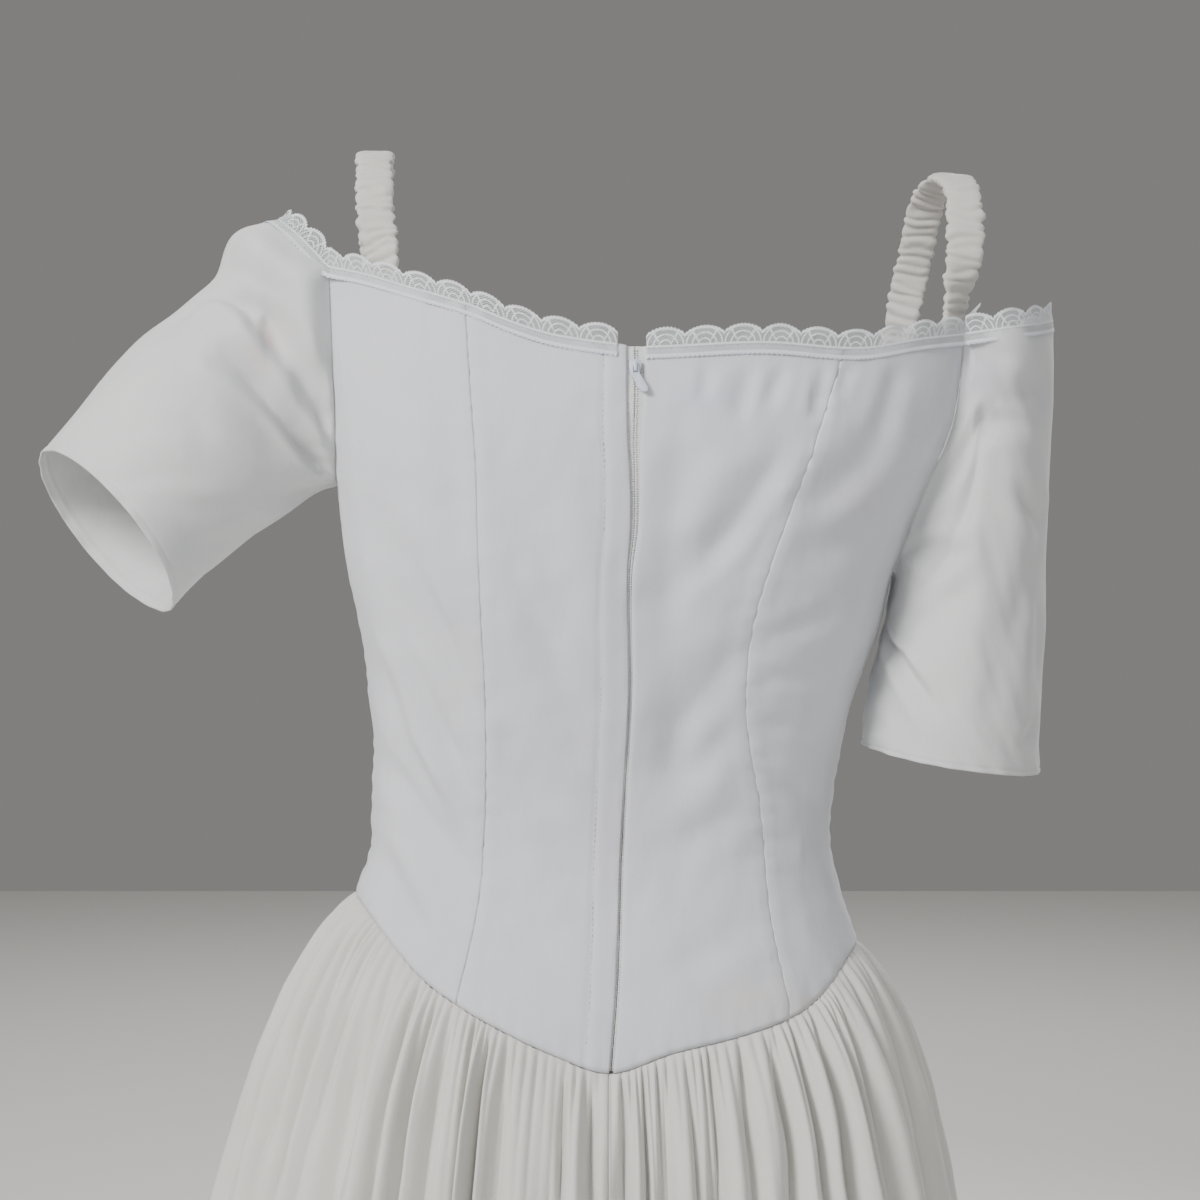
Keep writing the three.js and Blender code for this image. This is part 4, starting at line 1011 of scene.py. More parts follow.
@dataclass
class Skirt:
    """The gathered skirt: fine gathers at its waist that run together into folds.

    Attributes:
        hem: The hem's height.
        gathers: How many gathers its form has round the waist.
        back_seam: The number of the gather at the back seam, from the left seam on.
        right_side: The number of the one at the right seam.
        finer: How many of the cloth's own gathers go with each of the form's.
        waist_gap: The room below the bodice.
        reach: How far along the waist line the way out is read.
        thick: The shell's thickness.
        full_drop: The drop that the tables end with.
        fold_start: The angle at which the wide folds start.
        spacing: How unevenly the gathers stand, as rows for swings.
        depth: How unevenly deep the folds are, as rows for swings.
        rows: Steps down it.
    """

    hem: float = -1430
    gathers: int = 120
    back_seam: int = 31
    right_side: int = 60
    finer: float = 1.35
    waist_gap: float = 0.5
    reach: float = 18
    thick: float = 1.1
    full_drop: float = 1000
    fold_start: float = 0.9
    spacing: tuple[Point, ...] = ((2, 0.018, 1.3), (5, 0.006, 0.4))
    depth: tuple[Point, ...] = ((4, 0.24, 0.6), (9, 0.22, 2.1))
    rows: int = 100

    def waist_line(self) -> tuple[MeasuredLine, float, float]:
        """The bodice's lower edge as a closed line, and the back's and the right side's seam on it."""
        rows, lengths = [], [0.0]
        for panel in PANELS:
            rows.append(PanelLoft(panel, 40, 2).grid()[0][-1])
            lengths.append(MeasuredLine(np.vstack(rows)).length)
        closed = np.vstack(rows + [rows[0][:1]])
        return MeasuredLine(closed), lengths[2], lengths[4]

    def wave(self, gather: Array, drop: Array) -> Array:
        """Height of the waves of the skirt's cloth.

        Args:
            gather: Numbers of gathers round the waist.
            drop: Drops below the waist seam.

        Returns:
            The heights above the skirt's even form.
        """
        turn = TURN * gather
        deep = 1 + swings(self.depth, gather / self.gathers)
        ring = self.gathers / TURN
        x, y = ring * np.cos(turn / self.gathers), ring * np.sin(turn / self.gathers)
        shift = 0.5 * ripple(x, y, 7, 21) + 0.25 * ripple(x + drop / 60, y - drop / 80, 3, 22)
        tall = 0.75 + 0.45 * ripple(x, y, 3.1, 23)
        own = gathered(self.finer * turn + 2.4 * shift, 0.8) * np.clip(tall, 0.15, 1.3)
        full = np.clip(1 + 0.7 * ripple(x, y, 5, 24), 0.1, 1.8)
        pleat = gathered(turn / 2 + 1.6 * shift * smoothstep(drop, 8, 60), 0.72) * full
        fold = gathered(turn / 4 + self.fold_start + 0.6 * shift * smoothstep(drop, 40, 160), 1.0)
        return (
            SKIRT_WAVES.at("gather", drop) * own
            + SKIRT_WAVES.at("pleat", drop) * pleat * (2 - deep)
            + SKIRT_WAVES.at("fold", drop) * fold * deep
            + 0.8 * ripple(5.5 * x + drop, 5.5 * y - drop, 60, 25) * smoothstep(drop, 20, 120)
        )

    def drops(self) -> Array:
        """Shares of the fall where the rows stand, closer below the waist."""
        even = np.linspace(0, 1, self.rows + 1)
        return self.full_drop * even**1.9

    def piece_grid(self, line: MeasuredLine, piece: SkirtPiece) -> tuple[Array, Array, Array]:
        """The points of one piece, the way out of each, and its flat places.

        Args:
            line: The waist line.
            piece: The piece.

        Returns:
            The rows of each.
        """
        share = np.linspace(0, 1, piece.columns + 1)
        place = piece.start + (piece.end - piece.start) * (share + swings(self.spacing, share))
        ahead, behind = np.mod(place + self.reach, line.length), np.mod(place - self.reach, line.length)
        along = line.at(ahead) - line.at(behind)
        out = unit(np.stack([along[:, 1], -along[:, 0], np.zeros(len(place))], axis=-1))
        aside = np.stack([-out[:, 1], out[:, 0], out[:, 2]], axis=-1)
        shift = np.zeros(len(place))
        shift[0], shift[-1] = 0.17, -0.17
        seam = line.at(place) + aside * shift[:, None] - np.array([0, 0, self.waist_gap])
        gather = piece.first + (piece.last - piece.first) * share
        drop = self.drops()[:, None]
        x, y = out[:, 0], out[:, 1]
        sides = np.where(x > 0, SKIRT_FLARE.at("left", drop), SKIRT_FLARE.at("right", drop)) * x**2
        ends = np.where(y > 0, SKIRT_FLARE.at("back", drop), SKIRT_FLARE.at("front", drop)) * y**2
        height = self.wave(gather[None, :] + drop * 0, drop + gather * 0)
        height -= 1.0 * bump(drop, 1.6)
        for seam_gather in (piece.first, piece.last):
            distance = np.abs(gather - seam_gather) * 6
            height -= 1.4 * bump(distance[None, :], 2.2 + drop * 0.004)
        fall = drop * (seam[:, 2] - self.hem) / self.full_drop
        points = seam[None] + out[None] * (sides + ends + height)[..., None]
        points[..., 2] = seam[None, :, 2] - fall
        flat = np.stack([gather * 22 + drop * 0, -fall], axis=-1)
        return points, np.broadcast_to(out[None], points.shape), flat

    def build(self, cloth: Material) -> list[Object]:
        """Builds the three pieces.

        Args:
            cloth: The skirt's cotton.

        Returns:
            The pieces' objects.
        """
        line, middle, right = self.waist_line()
        back, side, last = self.back_seam, self.right_side, self.gathers
        pieces = (
            SkirtPiece("skirt_back_left", 0, middle, 0, back, 300, (800, 1090, 780000)),
            SkirtPiece("skirt_back_right", middle, right, back, side, 280, (760, 1080, 720000)),
            SkirtPiece("skirt_front", right, line.length, side, last, 380, (1560, 1090, 1500000)),
        )
        made = []
        for piece in pieces:
            points, out, flat = self.piece_grid(line, piece)
            grid = ClothGrid(points, out, flat)
            obj = place_piece(f"{piece.name}_cloth", grid.mesh(self.thick), cloth)
            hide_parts(piece.name)
            wide, long, area = piece.flat
            wide * MM
            long * MM
            area * MM * MM
            made.append(obj)
        return made


@dataclass(frozen=True)
class SleeveForm:
    """The sizes of one sleeve.

    Attributes:
        side: Which of the wearer's sides.
        centre: The middle of its hem.
        to_top: From there to the hem's top.
        to_back: From there to the hem's back.
        leave: The ways in which the cloth leaves the armhole under, behind, above and in front of the arm.
        arrive: The way in which it reaches the hem.
        top_edge: The free edge over the arm, from front to back.
        round: Its width round the arm.
        long: Its length.
        drape: The creases of its solid, on shares of the way round and along.
        fine: Its finer creases, on distances round and along.
        flat: Its cloth's flat width, length and area.
    """

    side: Side
    centre: Point
    to_top: Point
    to_back: Point
    leave: tuple[Point, ...]
    arrive: Point
    top_edge: tuple[Point, ...]
    round: float
    long: float
    drape: tuple[tuple[float, ...], ...]
    fine: tuple[Crease, ...]
    flat: Point


SLEEVES = (
    SleeveForm(
        Side.LEFT,
        (275, 26, -205),
        (37, -6, 41),
        (-17, 51, 14),
        ((62, 6, -24), (70, 44, -20), (96, 0, 8), (72, -34, -24)),
        (52, 20, -66),
        ((172, -46, -58), (184, -24, -42), (187, -4, -34.5), (182, 13, -36), (170, 28, -46)),
        330,
        150,
        (
            (0.54, 0.19, 0.38, 0.17, -4, 11),
            (0.6, 0.34, 0.3, 0.27, 10, 12),
            (0.56, 0.43, 0.44, 0.43, 8, 15),
            (0.3, 0.26, 0.1, 0.08, 5, 10),
            (0.4, 0.46, 0.04, 0.2, 5, 12),
            (0.7, 0.3, 0.92, 0.16, 4, 12),
        ),
        (
            Crease(
                ((136, 58), (122, 52), (112, 50), (101, 50), (94, 44), (88, 36), (80, 24)),
                7, 3.6, 0.3, 0.2, 0.5,
            ),
            Crease(((142, 32), (122, 32), (106, 27), (94, 16), (84, 6)), -6, 11, 0, 0.1),
            Crease(((124, 50), (110, 47), (99, 42), (91, 33), (82, 18), (75, 4)), 2.4, 3, 0, 0.6, 0.4),
            Crease(((86, 34), (80, 26), (72, 14), (60, 3)), 5, 4.6, 0.2, 0.4, 0.3),
            Crease(
                ((116, 80), (100, 71), (91, 60), (83, 50), (73, 40), (60, 29), (44, 15), (22, 3)),
                6.6, 4.2, 0.35, 0.5, 0.5,
            ),
            Crease(((104, 64), (94, 52), (84, 41), (70, 28)), -4, 7, 0, 0),
            Crease(((132, 92), (122, 88), (112, 80), (98, 84)), 1.8, 5, 0, 0.3, 0.3),
            Crease(((124, 106), (108, 98), (90, 88), (70, 84)), 1.5, 7),
            Crease(((58, 68), (40, 56), (24, 44), (6, 34)), 2.2, 8, 0, 0.5),
            Crease(((40, 132), (30, 108), (20, 84)), 1.5, 7),
            Crease(((160, 60), (190, 66), (226, 52)), 2.6, 7, 0, 0.4, 0.3),
            Crease(((230, 60), (270, 44), (310, 26)), 2.4, 6, 0, 0.4, 0.3),
            Crease(((220, 96), (262, 82), (300, 60)), 1.8, 7),
        ),
        (420, 265, 82000),
    ),
    SleeveForm(
        Side.RIGHT,
        (-184.5, 2, -328),
        (-48.5, 0, -7),
        (0, 58, -4),
        ((-6, 0, -46), (-44, 30, -70), (-14, 0, -96), (-40, -30, -70)),
        (-8, 0, -70),
        ((-212, -50, -99), (-232, -26, -93), (-240, 0, -88), (-230, 24, -92), (-210, 42, -96)),
        330,
        235,
        (
            (0.42, 0.2, 0.2, 0.32, 4, 11),
            (0.16, 0.42, 0.34, 0.56, 3, 12),
            (0.42, 0.5, 0.36, 0.62, 4, 10),
            (0.62, 0.25, 0.86, 0.42, 4, 12),
        ),
        (
            Crease(((66, 0), (74, 22), (88, 46), (104, 62), (142, 66)), 2.6, 4.4, 0.3, 0.5, 0.4),
            Crease(((44, 2), (57, 43), (70, 79), (90, 112)), 3.4, 3.8, 0.3, 0.5, 0.5),
            Crease(((4, 84), (20, 104), (37, 123), (54, 157), (68, 188)), 4.2, 4.8, 0.3, 0.5, 0.4),
            Crease(((112, 86), (125, 97), (138, 104), (160, 108)), 2.6, 5, 0, 0.4, 0.4),
            Crease(((88, 6), (104, 20), (122, 36)), 2, 6),
            Crease(((146, 186), (132, 198), (118, 208)), 1.7, 5, 0, 0.4),
            Crease(((150, 120), (140, 150), (144, 180)), 1.8, 7),
            Crease(((96, 130), (106, 160), (100, 196)), 1.2, 9),
            Crease(((210, 70), (250, 96), (290, 110)), 2.2, 7, 0, 0.4, 0.3),
            Crease(((200, 40), (240, 52), (290, 60)), 2, 5, 0, 0.4, 0.4),
            Crease(((220, 140), (262, 156), (300, 150)), 1.8, 8),
            Crease(((-20, 110), (-30, 150), (-20, 200)), 1.6, 8),
        ),
        (420, 265, 82000),
    ),
)


@dataclass(frozen=True)
class SleeveSurface:
    """A sleeve's outer face, by the place round the arm and the way along it.

    Round the arm, 0 is under it, a quarter is behind it and a half is above it.

    Attributes:
        form: The sleeve's sizes.
        armhole_share: The share of its upper ring that is sewn to the armhole.
        off: How far it starts from the bodice's face and from its edge.
        crease_start: The share of its length over which its creases rise.
    """

    form: SleeveForm
    armhole_share: float = 0.6
    off: float = 0.3
    crease_start: float = 0.12

    @cache
    def armhole_line(self) -> Array:
        """The armhole's edge from its front corner under the arm to its back corner."""
        halves = []
        for panel in PANELS:
            if panel.armhole is not self.form.side:
                continue
            loft = PanelLoft(panel, 2, 2)
            share, side_first = loft.corner_share()
            across = np.linspace(0, share, 26)[::-1] if side_first else np.linspace(share, 1, 26)
            top = loft.edge(across, NECK, loft.top_edge) - loft.seam_gap / 2
            theta = loft.angles(across, top)
            halves.append((panel.facing, FORM.point(theta, top), FORM.normal(theta, top)))
        halves.sort(key=lambda half: half[0])
        (_, front, front_out), (_, back, back_out) = halves
        line = np.vstack([front, back[::-1][1:]])
        out = np.vstack([front_out, back_out[::-1][1:]])
        hand = 1 if self.form.side is Side.LEFT else -1
        away = unit(np.cross(out, np.gradient(line, axis=0))) * hand
        return line + (out + away) * self.off

    def leaving(self, around: Array) -> Array:
        """The ways in which the cloth leaves the armhole.

        Args:
            around: Places round the arm.

        Returns:
            A way for each place, with its strength.
        """
        four = np.array(self.form.leave, float)
        quarter = np.mod(around * 4, 4)
        i = np.floor(quarter).astype(int) % 4
        t = smoothstep(quarter - i, 0, 1)[..., None]
        return four[i] * (1 - t) + four[(i + 1) % 4] * t

    def upper_ring(self, around: Array) -> Array:
        """The ring along the armhole and over the arm.

        Args:
            around: Places round the arm.

        Returns:
            A point for each place.
        """
        line = self.armhole_line()
        free = RoundedLine([line[0], *self.form.top_edge, line[-1]])
        turn = np.where(around > 0.5, around - 1, around)
        sewn = np.abs(turn) <= self.armhole_share / 2
        place = np.clip((turn / self.armhole_share + 0.5) * (len(line) - 1), 0, len(line) - 1)
        on_line = np.stack([np.interp(place, np.arange(len(line)), column) for column in line.T], axis=-1)
        share = (1 - self.armhole_share / 2 - around) / (1 - self.armhole_share)
        return np.where(sewn[..., None], on_line, free.at(np.clip(share, 0, 1)))

    def smooth(self, around: Array, along: Array) -> Array:
        """Points of the sleeve without its creases.

        Args:
            around: Places round the arm, one for each column.
            along: Shares of the way, one for each row.

        Returns:
            Rows of points.
        """
        around = np.mod(around, 1)
        turn = TURN * around[:, None]
        form = self.form
        centre, to_top, to_back = np.array(form.centre), np.array(form.to_top), np.array(form.to_back)
        lower = centre - to_top * np.cos(turn) + to_back * np.sin(turn)
        upper, leave, arrive = self.upper_ring(around), self.leaving(around), np.array(form.arrive, float)
        return hermite(upper[None], leave[None], lower[None], arrive, along[:, None, None])


@dataclass
class Sleeves:
    """Both sleeves, with their turned hems and creases.

    Attributes:
        thick: The shell's thickness.
        hem_wide: The width of a turned hem.
        settled: How often the cloth is averaged away from the armhole.
        even: How often the ways out of it are averaged.
        columns: Steps round a sleeve.
        rows: Steps along it.
    """

    thick: float = 0.9
    hem_wide: float = 6.5
    settled: int = 22
    even: int = 30
    columns: int = 220
    rows: int = 104

    def height(self, form: SleeveForm, around: Array, along: Array) -> Array:
        """How far the cloth stands out from the smooth sleeve.

        Args:
            form: The sleeve's sizes.
            around: Places round the arm.
            along: Shares of the way.

        Returns:
            The heights.
        """
        x, y = np.meshgrid(around * form.round, along * form.long)
        total = np.zeros(x.shape)
        for from_x, from_y, to_x, to_y, deep, wide in form.drape:
            near = x - form.round * np.rint(x / form.round - (from_x + to_x) / 2)
            start, end = (from_x * form.round, from_y * form.long), (to_x * form.round, to_y * form.long)
            total -= straight_crease(near, y, start, end, deep, wide)
        total *= 0.8 * smoothstep(along[:, None], 0, SleeveSurface(form).crease_start)
        for shift in (-form.round, 0, form.round):
            total -= creased(form.fine, x + shift, y) * smoothstep(y, -2, 7)
        angle = TURN * around[None, :]
        ring = form.round / TURN
        total += 0.7 * ripple(ring * np.cos(angle) + y * 0.4, ring * np.sin(angle) + y * 0.8, 42, 31)
        total += 0.3 * ripple(ring * np.cos(angle) * 2 + y, ring * np.sin(angle) * 2, 30, 32)
        from_top, from_hem = y, form.long - y
        sewn = smoothstep(np.abs(np.mod(around + 0.5, 1) - 0.5), 0.26, 0.3)[None, :]
        pucker = np.sin(x * TURN / 12 + 2 * ripple(x, x * 0, 50, 33))
        pucker = 0.7 * pucker * np.exp(-from_top / 12) * smoothstep(from_top, 0, 4)
        total += (1 - sewn) * (pucker - 0.6 * bump(from_top, 2))
        total -= 0.5 * bump(from_hem - self.hem_wide, 1.1)
        total += 0.35 * np.sin(x * TURN / 17 + ripple(x, x * 0, 60, 34)) * np.exp(-from_hem / 9)
        return total

    def build(self, cloth: Material) -> list[Object]:
        """Builds both sleeves.

        Args:
            cloth: The sleeves' cotton.

        Returns:
            The sleeves' objects.
        """
        made = []
        for form in SLEEVES:
            surface = SleeveSurface(form)
            around, along = np.linspace(0, 1, self.columns + 1), np.linspace(0, 1, self.rows + 1)
            smooth = surface.smooth(around, along)
            axis = smooth[:, :-1].mean(axis=1, keepdims=True)
            share = smoothstep(along, 0.02, 0.2)[:, None, None]
            smooth = smooth * (1 - share) + smoothed(smooth, self.settled) * share
            normals = smoothed(ring_normals(smooth, smooth - axis), self.even)
            points = smooth + unit(normals) * self.height(form, around, along)[..., None]
            flat = np.stack(np.meshgrid(around * form.round, -along * form.long), axis=-1)
            name = f"sleeve_{form.side.value}"
            grid = ClothGrid(points, normals, flat, closed=True)
            obj = place_piece(f"{name}_cloth", grid.mesh(self.thick), cloth)
            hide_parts(name)
            wide, long, area = form.flat
            wide * MM
            long * MM
            area * MM * MM
            made.append(obj)
        return made


def straight_crease(
    x: Array, y: Array, start: tuple[float, float], end: tuple[float, float], deep: float, wide: float
) -> Array:
    """The depth of a crease with soft ends, as the sleeves' solids have it.

    Args:
        x: Places round the arm.
        y: Places along it.
        start: Where it starts.
        end: Where it ends.
        deep: Its depth.
        wide: Its width.

    Returns:
        The depths.
    """
    dx, dy = end[0] - start[0], end[1] - start[1]
    t = np.clip(((x - start[0]) * dx + (y - start[1]) * dy) / (dx**2 + dy**2), 0, 1)
    return deep * bump(np.hypot(x - start[0] - t * dx, y - start[1] - t * dy), wide)


@dataclass
class LaceEdging:
    """The scalloped net lace that stands on the whole neckline.

    Attributes:
        on_cloth: How far its heading reaches down the cloth.
        free: How far a scallop's tip stands above the cloth's edge.
        scallop: The usual length of a scallop.
        stand: How strongly it stands up where the cloth lies level.
        lift: The room between the cloth and the lace.
        corner_lift: Extra room where it crosses an armhole's corner.
        corner_wide: How far that reaches.
        thick: The shell's thickness.
        left_end: Where it ends at the lap, as the distance from the middle.
        right_end: Where it starts on the zip's other side.
        across: Steps from its tips to its heading.
        a_scallop: Steps along a scallop.
    """

    on_cloth: float = 7.5
    free: float = 10.4
    scallop: float = 20
    stand: float = 0.6
    lift: float = 0.75
    corner_lift: float = 1.0
    corner_wide: float = 14
    thick: float = 0.4
    left_end: float = -1
    right_end: float = -15.5
    across: int = 18
    a_scallop: int = 14

    def on_bodice(self, start: float, end: float, count: int) -> Array:
        """A stretch of the bodice's neckline.

        Args:
            start: The angle round the body that it starts at.
            end: The angle that it ends at.
            count: How many points it has.

        Returns:
            The edge's points, the ways down the cloth and the ways up.
        """
        theta = np.linspace(start, end, count)
        z = FORM.neckline(theta)
        edge = FORM.point(theta, z)
        lie = unit(FORM.point(theta, z - self.on_cloth) - edge)
        return np.stack([edge, lie, -lie])

    def on_sleeve(self, form: SleeveForm, start: float, end: float, count: int) -> Array:
        """A stretch of a sleeve's free edge.

        Args:
            form: The sleeve's sizes.
            start: The place round the arm that it starts at.
            end: The place that it ends at.
            count: How many points it has.

        Returns:
            The edge's points, the ways down the cloth and the ways up.
        """
        around = start + (end - start) * (np.arange(count) + 0.5) / count
        rows = SleeveSurface(form).smooth(around, np.array([0, 0.06]))
        lie = unit(rows[1] - rows[0])
        return np.stack([rows[0], lie, unit(np.array([0, 0, self.stand]) - lie)])

    def stations(self) -> Array:
        """The whole neckline, from the zip round the wearer's right, the front and the left back to it."""
        left, right = SLEEVES
        half = SleeveSurface(left).armhole_share / 2
        under, lap = (float(FORM.angle(end, np.array(NECK), 1)) for end in (self.right_end, self.left_end))
        return np.concatenate(
            [
                self.on_bodice(under, FORM.corner(Side.RIGHT, 1), 30),
                self.on_sleeve(right, half, 1 - half, 24),
                self.on_bodice(FORM.corner(Side.RIGHT, -1), FORM.corner(Side.LEFT, -1), 70),
                self.on_sleeve(left, 1 - half, half, 24),
                self.on_bodice(FORM.corner(Side.LEFT, 1), lap, 30),
            ],
            axis=1,
        )

    def corner_points(self) -> Array:
        """Where the sleeves' free edges meet the bodice."""
        half = SleeveSurface(SLEEVES[0]).armhole_share / 2
        ends = np.array([half, 1 - half])
        return np.concatenate([SleeveSurface(form).smooth(ends, np.array([0.0]))[0] for form in SLEEVES])

    def grid(self) -> ClothGrid:
        """The lace as a grid of points, with its flat places."""
        edge, lie, up = self.stations()
        averaged = 6
        for _ in range(averaged):
            lie[1:-1] = (lie[:-2] + 2 * lie[1:-1] + lie[2:]) / 4
            up[1:-1] = (up[:-2] + 2 * up[1:-1] + up[2:]) / 4
        line = MeasuredLine(edge)
        scallops = round(line.length / self.scallop)
        place = np.linspace(0, line.length, scallops * self.a_scallop + 1)
        edge, lie, up = line.at(place), unit(line.at(place, lie)), unit(line.at(place, up))
        along = unit(np.gradient(edge, axis=0))
        on_cloth, standing = unit(np.cross(lie, along)), unit(np.cross(along, up))
        nearest = np.min(np.linalg.norm(edge[:, None] - self.corner_points()[None], axis=-1), axis=1)
        lift = self.lift + self.corner_lift * bump(nearest, self.corner_wide)
        high = np.linspace(self.free, -self.on_cloth, self.across + 1)[:, None]
        flat_along = place * scallops * self.scallop / line.length
        above, below = np.maximum(high, 0)[..., None], np.maximum(-high, 0)[..., None]
        way = np.where(high[..., None] > 0, up[None] * above, lie[None] * below)
        share = smoothstep(high, -2.5, 2.5)[..., None]
        out = unit(on_cloth[None] * (1 - share) + standing[None] * share)
        flutter = 0.55 * ripple(place, high * 2, 30, 41) + 0.35 * ripple(place, high * 0, 11, 42)
        height = lift[None] + flutter * smoothstep(high, -1, 9) * 1.3 + 0.12 * ripple(place, high, 9, 43)
        points = edge[None] + way + out * height[..., None]
        flat = np.stack([flat_along[None] + 0 * high, high + 0 * place[None]], axis=-1)
        return ClothGrid(points, np.broadcast_to(out, points.shape), flat)

    def build(self, net: Material) -> Object:
        """Builds the lace in one piece.

        Args:
            net: The lace's material.

        Returns:
            The lace's object.
        """
        grid = self.grid()
        obj = place_piece("lace_edging", grid.mesh(self.thick), net)
        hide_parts("lace_trim")
        return obj


@dataclass(frozen=True)
class StrapLine:
    """The way of one strap, in the same places as its solid.

    Attributes:
        side: Which of the wearer's sides.
        back: Its places sewn inside the back, as the distance from the middle, the height and the room.
        over: Its line over the shoulder.
        front: Its places sewn inside the front.
    """

    side: Side
    back: tuple[Point, ...]
    over: tuple[Point, ...]
    front: tuple[Point, ...]


STRAPS = (
    StrapLine(
        Side.LEFT,
        ((125, -96, 0), (126, -80, 0.4), (126.5, -62, 2.5)),
        ((128, 43, -36), (130, 26, -10), (132, 0, 1.5), (134, -26, -8), (135, -42, -34)),
        ((135, -68, 3), (135, -92, 0.8), (134, -116, 0)),
    ),
    StrapLine(
        Side.RIGHT,
        ((-183, -122, 0), (-185, -106, 0.5), (-188.5, -84, 3)),
        (
            (-187, 37, -56), (-188, 31, -35), (-187, 20, -18),
            (-182, 2, -11), (-175, -22, -19), (-170, -40, -48),
        ),
        ((-167, -84, 4), (-164, -112, 1.2), (-161, -134, 0.2)),
    ),
)


@dataclass
class Straps:
    """The two ruched straps.

    Attributes:
        wide: A strap's width.
        thick: Its thickness.
        cloth: The bodice's wall that it is sewn behind.
        clear: The room between that wall and the strap.
        plain: The share of its length at each end without ruches.
        shell: The cloth's thickness.
        flat: The flat width and length of the cloth of its tube.
        square: How square the tube's edges (first) and faces are, where 1 is round.
        pleat: From one ruche to the next.
        step: The flat cloth of one step round it (first) and along it.
        rings: Steps along it.
        sides: Steps round it.
    """

    wide: float = 19
    thick: float = 4.2
    cloth: float = 1.6
    clear: float = 0.7
    plain: float = 0.085
    shell: float = 0.6
    flat: tuple[float, float] = (46, 340)
    square: tuple[float, float] = (0.55, 0.8)
    pleat: float = 5.8
    step: tuple[float, float] = (1.1, 0.9)
    rings: int = 280
    sides: int = 36

    def inside(self, rows: Sequence[Point], facing: int) -> tuple[Array, Array]:
        """Points on the inside of the bodice, and the ways along the wall there.

        Args:
            rows: Distances from the middle, heights and the room behind the wall.
            facing: 1 for the back and -1 for the front.

        Returns:
            The points and the ways.
        """
        x, z, off = np.array(rows, float).T
        theta = FORM.angle(x, z, facing)
        out = FORM.normal(theta, z)
        depth = self.cloth + self.clear + self.thick / 2 + off
        wide = unit(np.stack([-out[:, 1], out[:, 0], np.zeros(len(x))], axis=-1))
        return FORM.point(theta, z) - out * depth[:, None], wide * facing

    def ring(self, line: StrapLine) -> tuple[Array, Array]:
        """The strap as rings of points.

        Args:
            line: Its way.

        Returns:
            The rings, with the ruches, and the ways out.
        """
        back, back_wide = self.inside(line.back, 1)
        front, front_wide = self.inside(line.front, -1)
        over_wide = np.tile([-1.0, 0, 0], (len(line.over), 1))
        path = RoundedLine(np.vstack([back, line.over, front]))
        widths = RoundedLine(np.vstack([back_wide, over_wide, front_wide]))
        share = np.linspace(0, 1, self.rings + 1)
        fine = np.linspace(0, 1, 800)
        measured = MeasuredLine(path.at(fine))
        t = np.interp(share * measured.walked[-1], measured.walked, fine)
        centre, along = path.at(t), unit(np.gradient(path.at(t), axis=0))
        out = unit(np.cross(along, widths.at(t)))
        wide = unit(np.cross(out, along))
        angle = np.linspace(0, TURN, self.sides + 1)
        c, s = signed_power(np.cos(angle), self.square[0]), signed_power(np.sin(angle), self.square[1])
        far = share[:, None] * measured.walked[-1]
        seed = 51 if line.side is Side.LEFT else 61
        lean = ripple(far, far * 0, 24, seed + 3) * 5
        wave = far + lean * c[None] * 0.5 + 1.6 * ripple(far, c[None] * 9, 13, seed)
        ruche = gathered(wave * TURN / self.pleat, 0.75) + 0.5 * np.sin(wave * TURN / 13.1 + 1)
        amount = smoothstep(np.minimum(share, 1 - share), self.plain * 0.6, self.plain * 1.3)[:, None]
        strength = 0.8 + 0.25 * ripple(far, c[None] * 6, 15, seed + 1)
        half = self.wide / 2 + amount * (0.8 * ripple(far, s[None], 8, seed + 2) + 0.6 * ruche)
        deep = self.thick / 2 * (0.42 + 0.58 * amount) + amount * 1.2 * ruche * strength
        aside, off = wide[:, None] * (c[None] * half)[..., None], out[:, None] * (s[None] * deep)[..., None]
        points = centre[:, None] + aside + off
        ways = wide[:, None] * c[None, :, None] + out[:, None] * s[None, :, None]
        return points, ways

    def build(self, cloth: Material) -> list[Object]:
        """Builds both straps, as tubes of cloth.

        Args:
            cloth: The straps' cotton.

        Returns:
            The straps' objects.
        """
        made = []
        for line in STRAPS:
            points, ways = self.ring(line)
            rows, columns = points.shape[:2]
            across, along = np.arange(columns) * self.step[0], np.arange(rows) * self.step[1]
            flat = np.stack(np.meshgrid(across, along), axis=-1)
            bm = ClothGrid(points, ways, flat, closed=True).mesh(self.shell)
            name = f"strap_{line.side.value}"
            obj = place_piece(f"{name}_ruched", bm, cloth)
            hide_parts(name)
            wide, long = self.flat
            wide * MM
            long * MM
            made.append(obj)
        return made


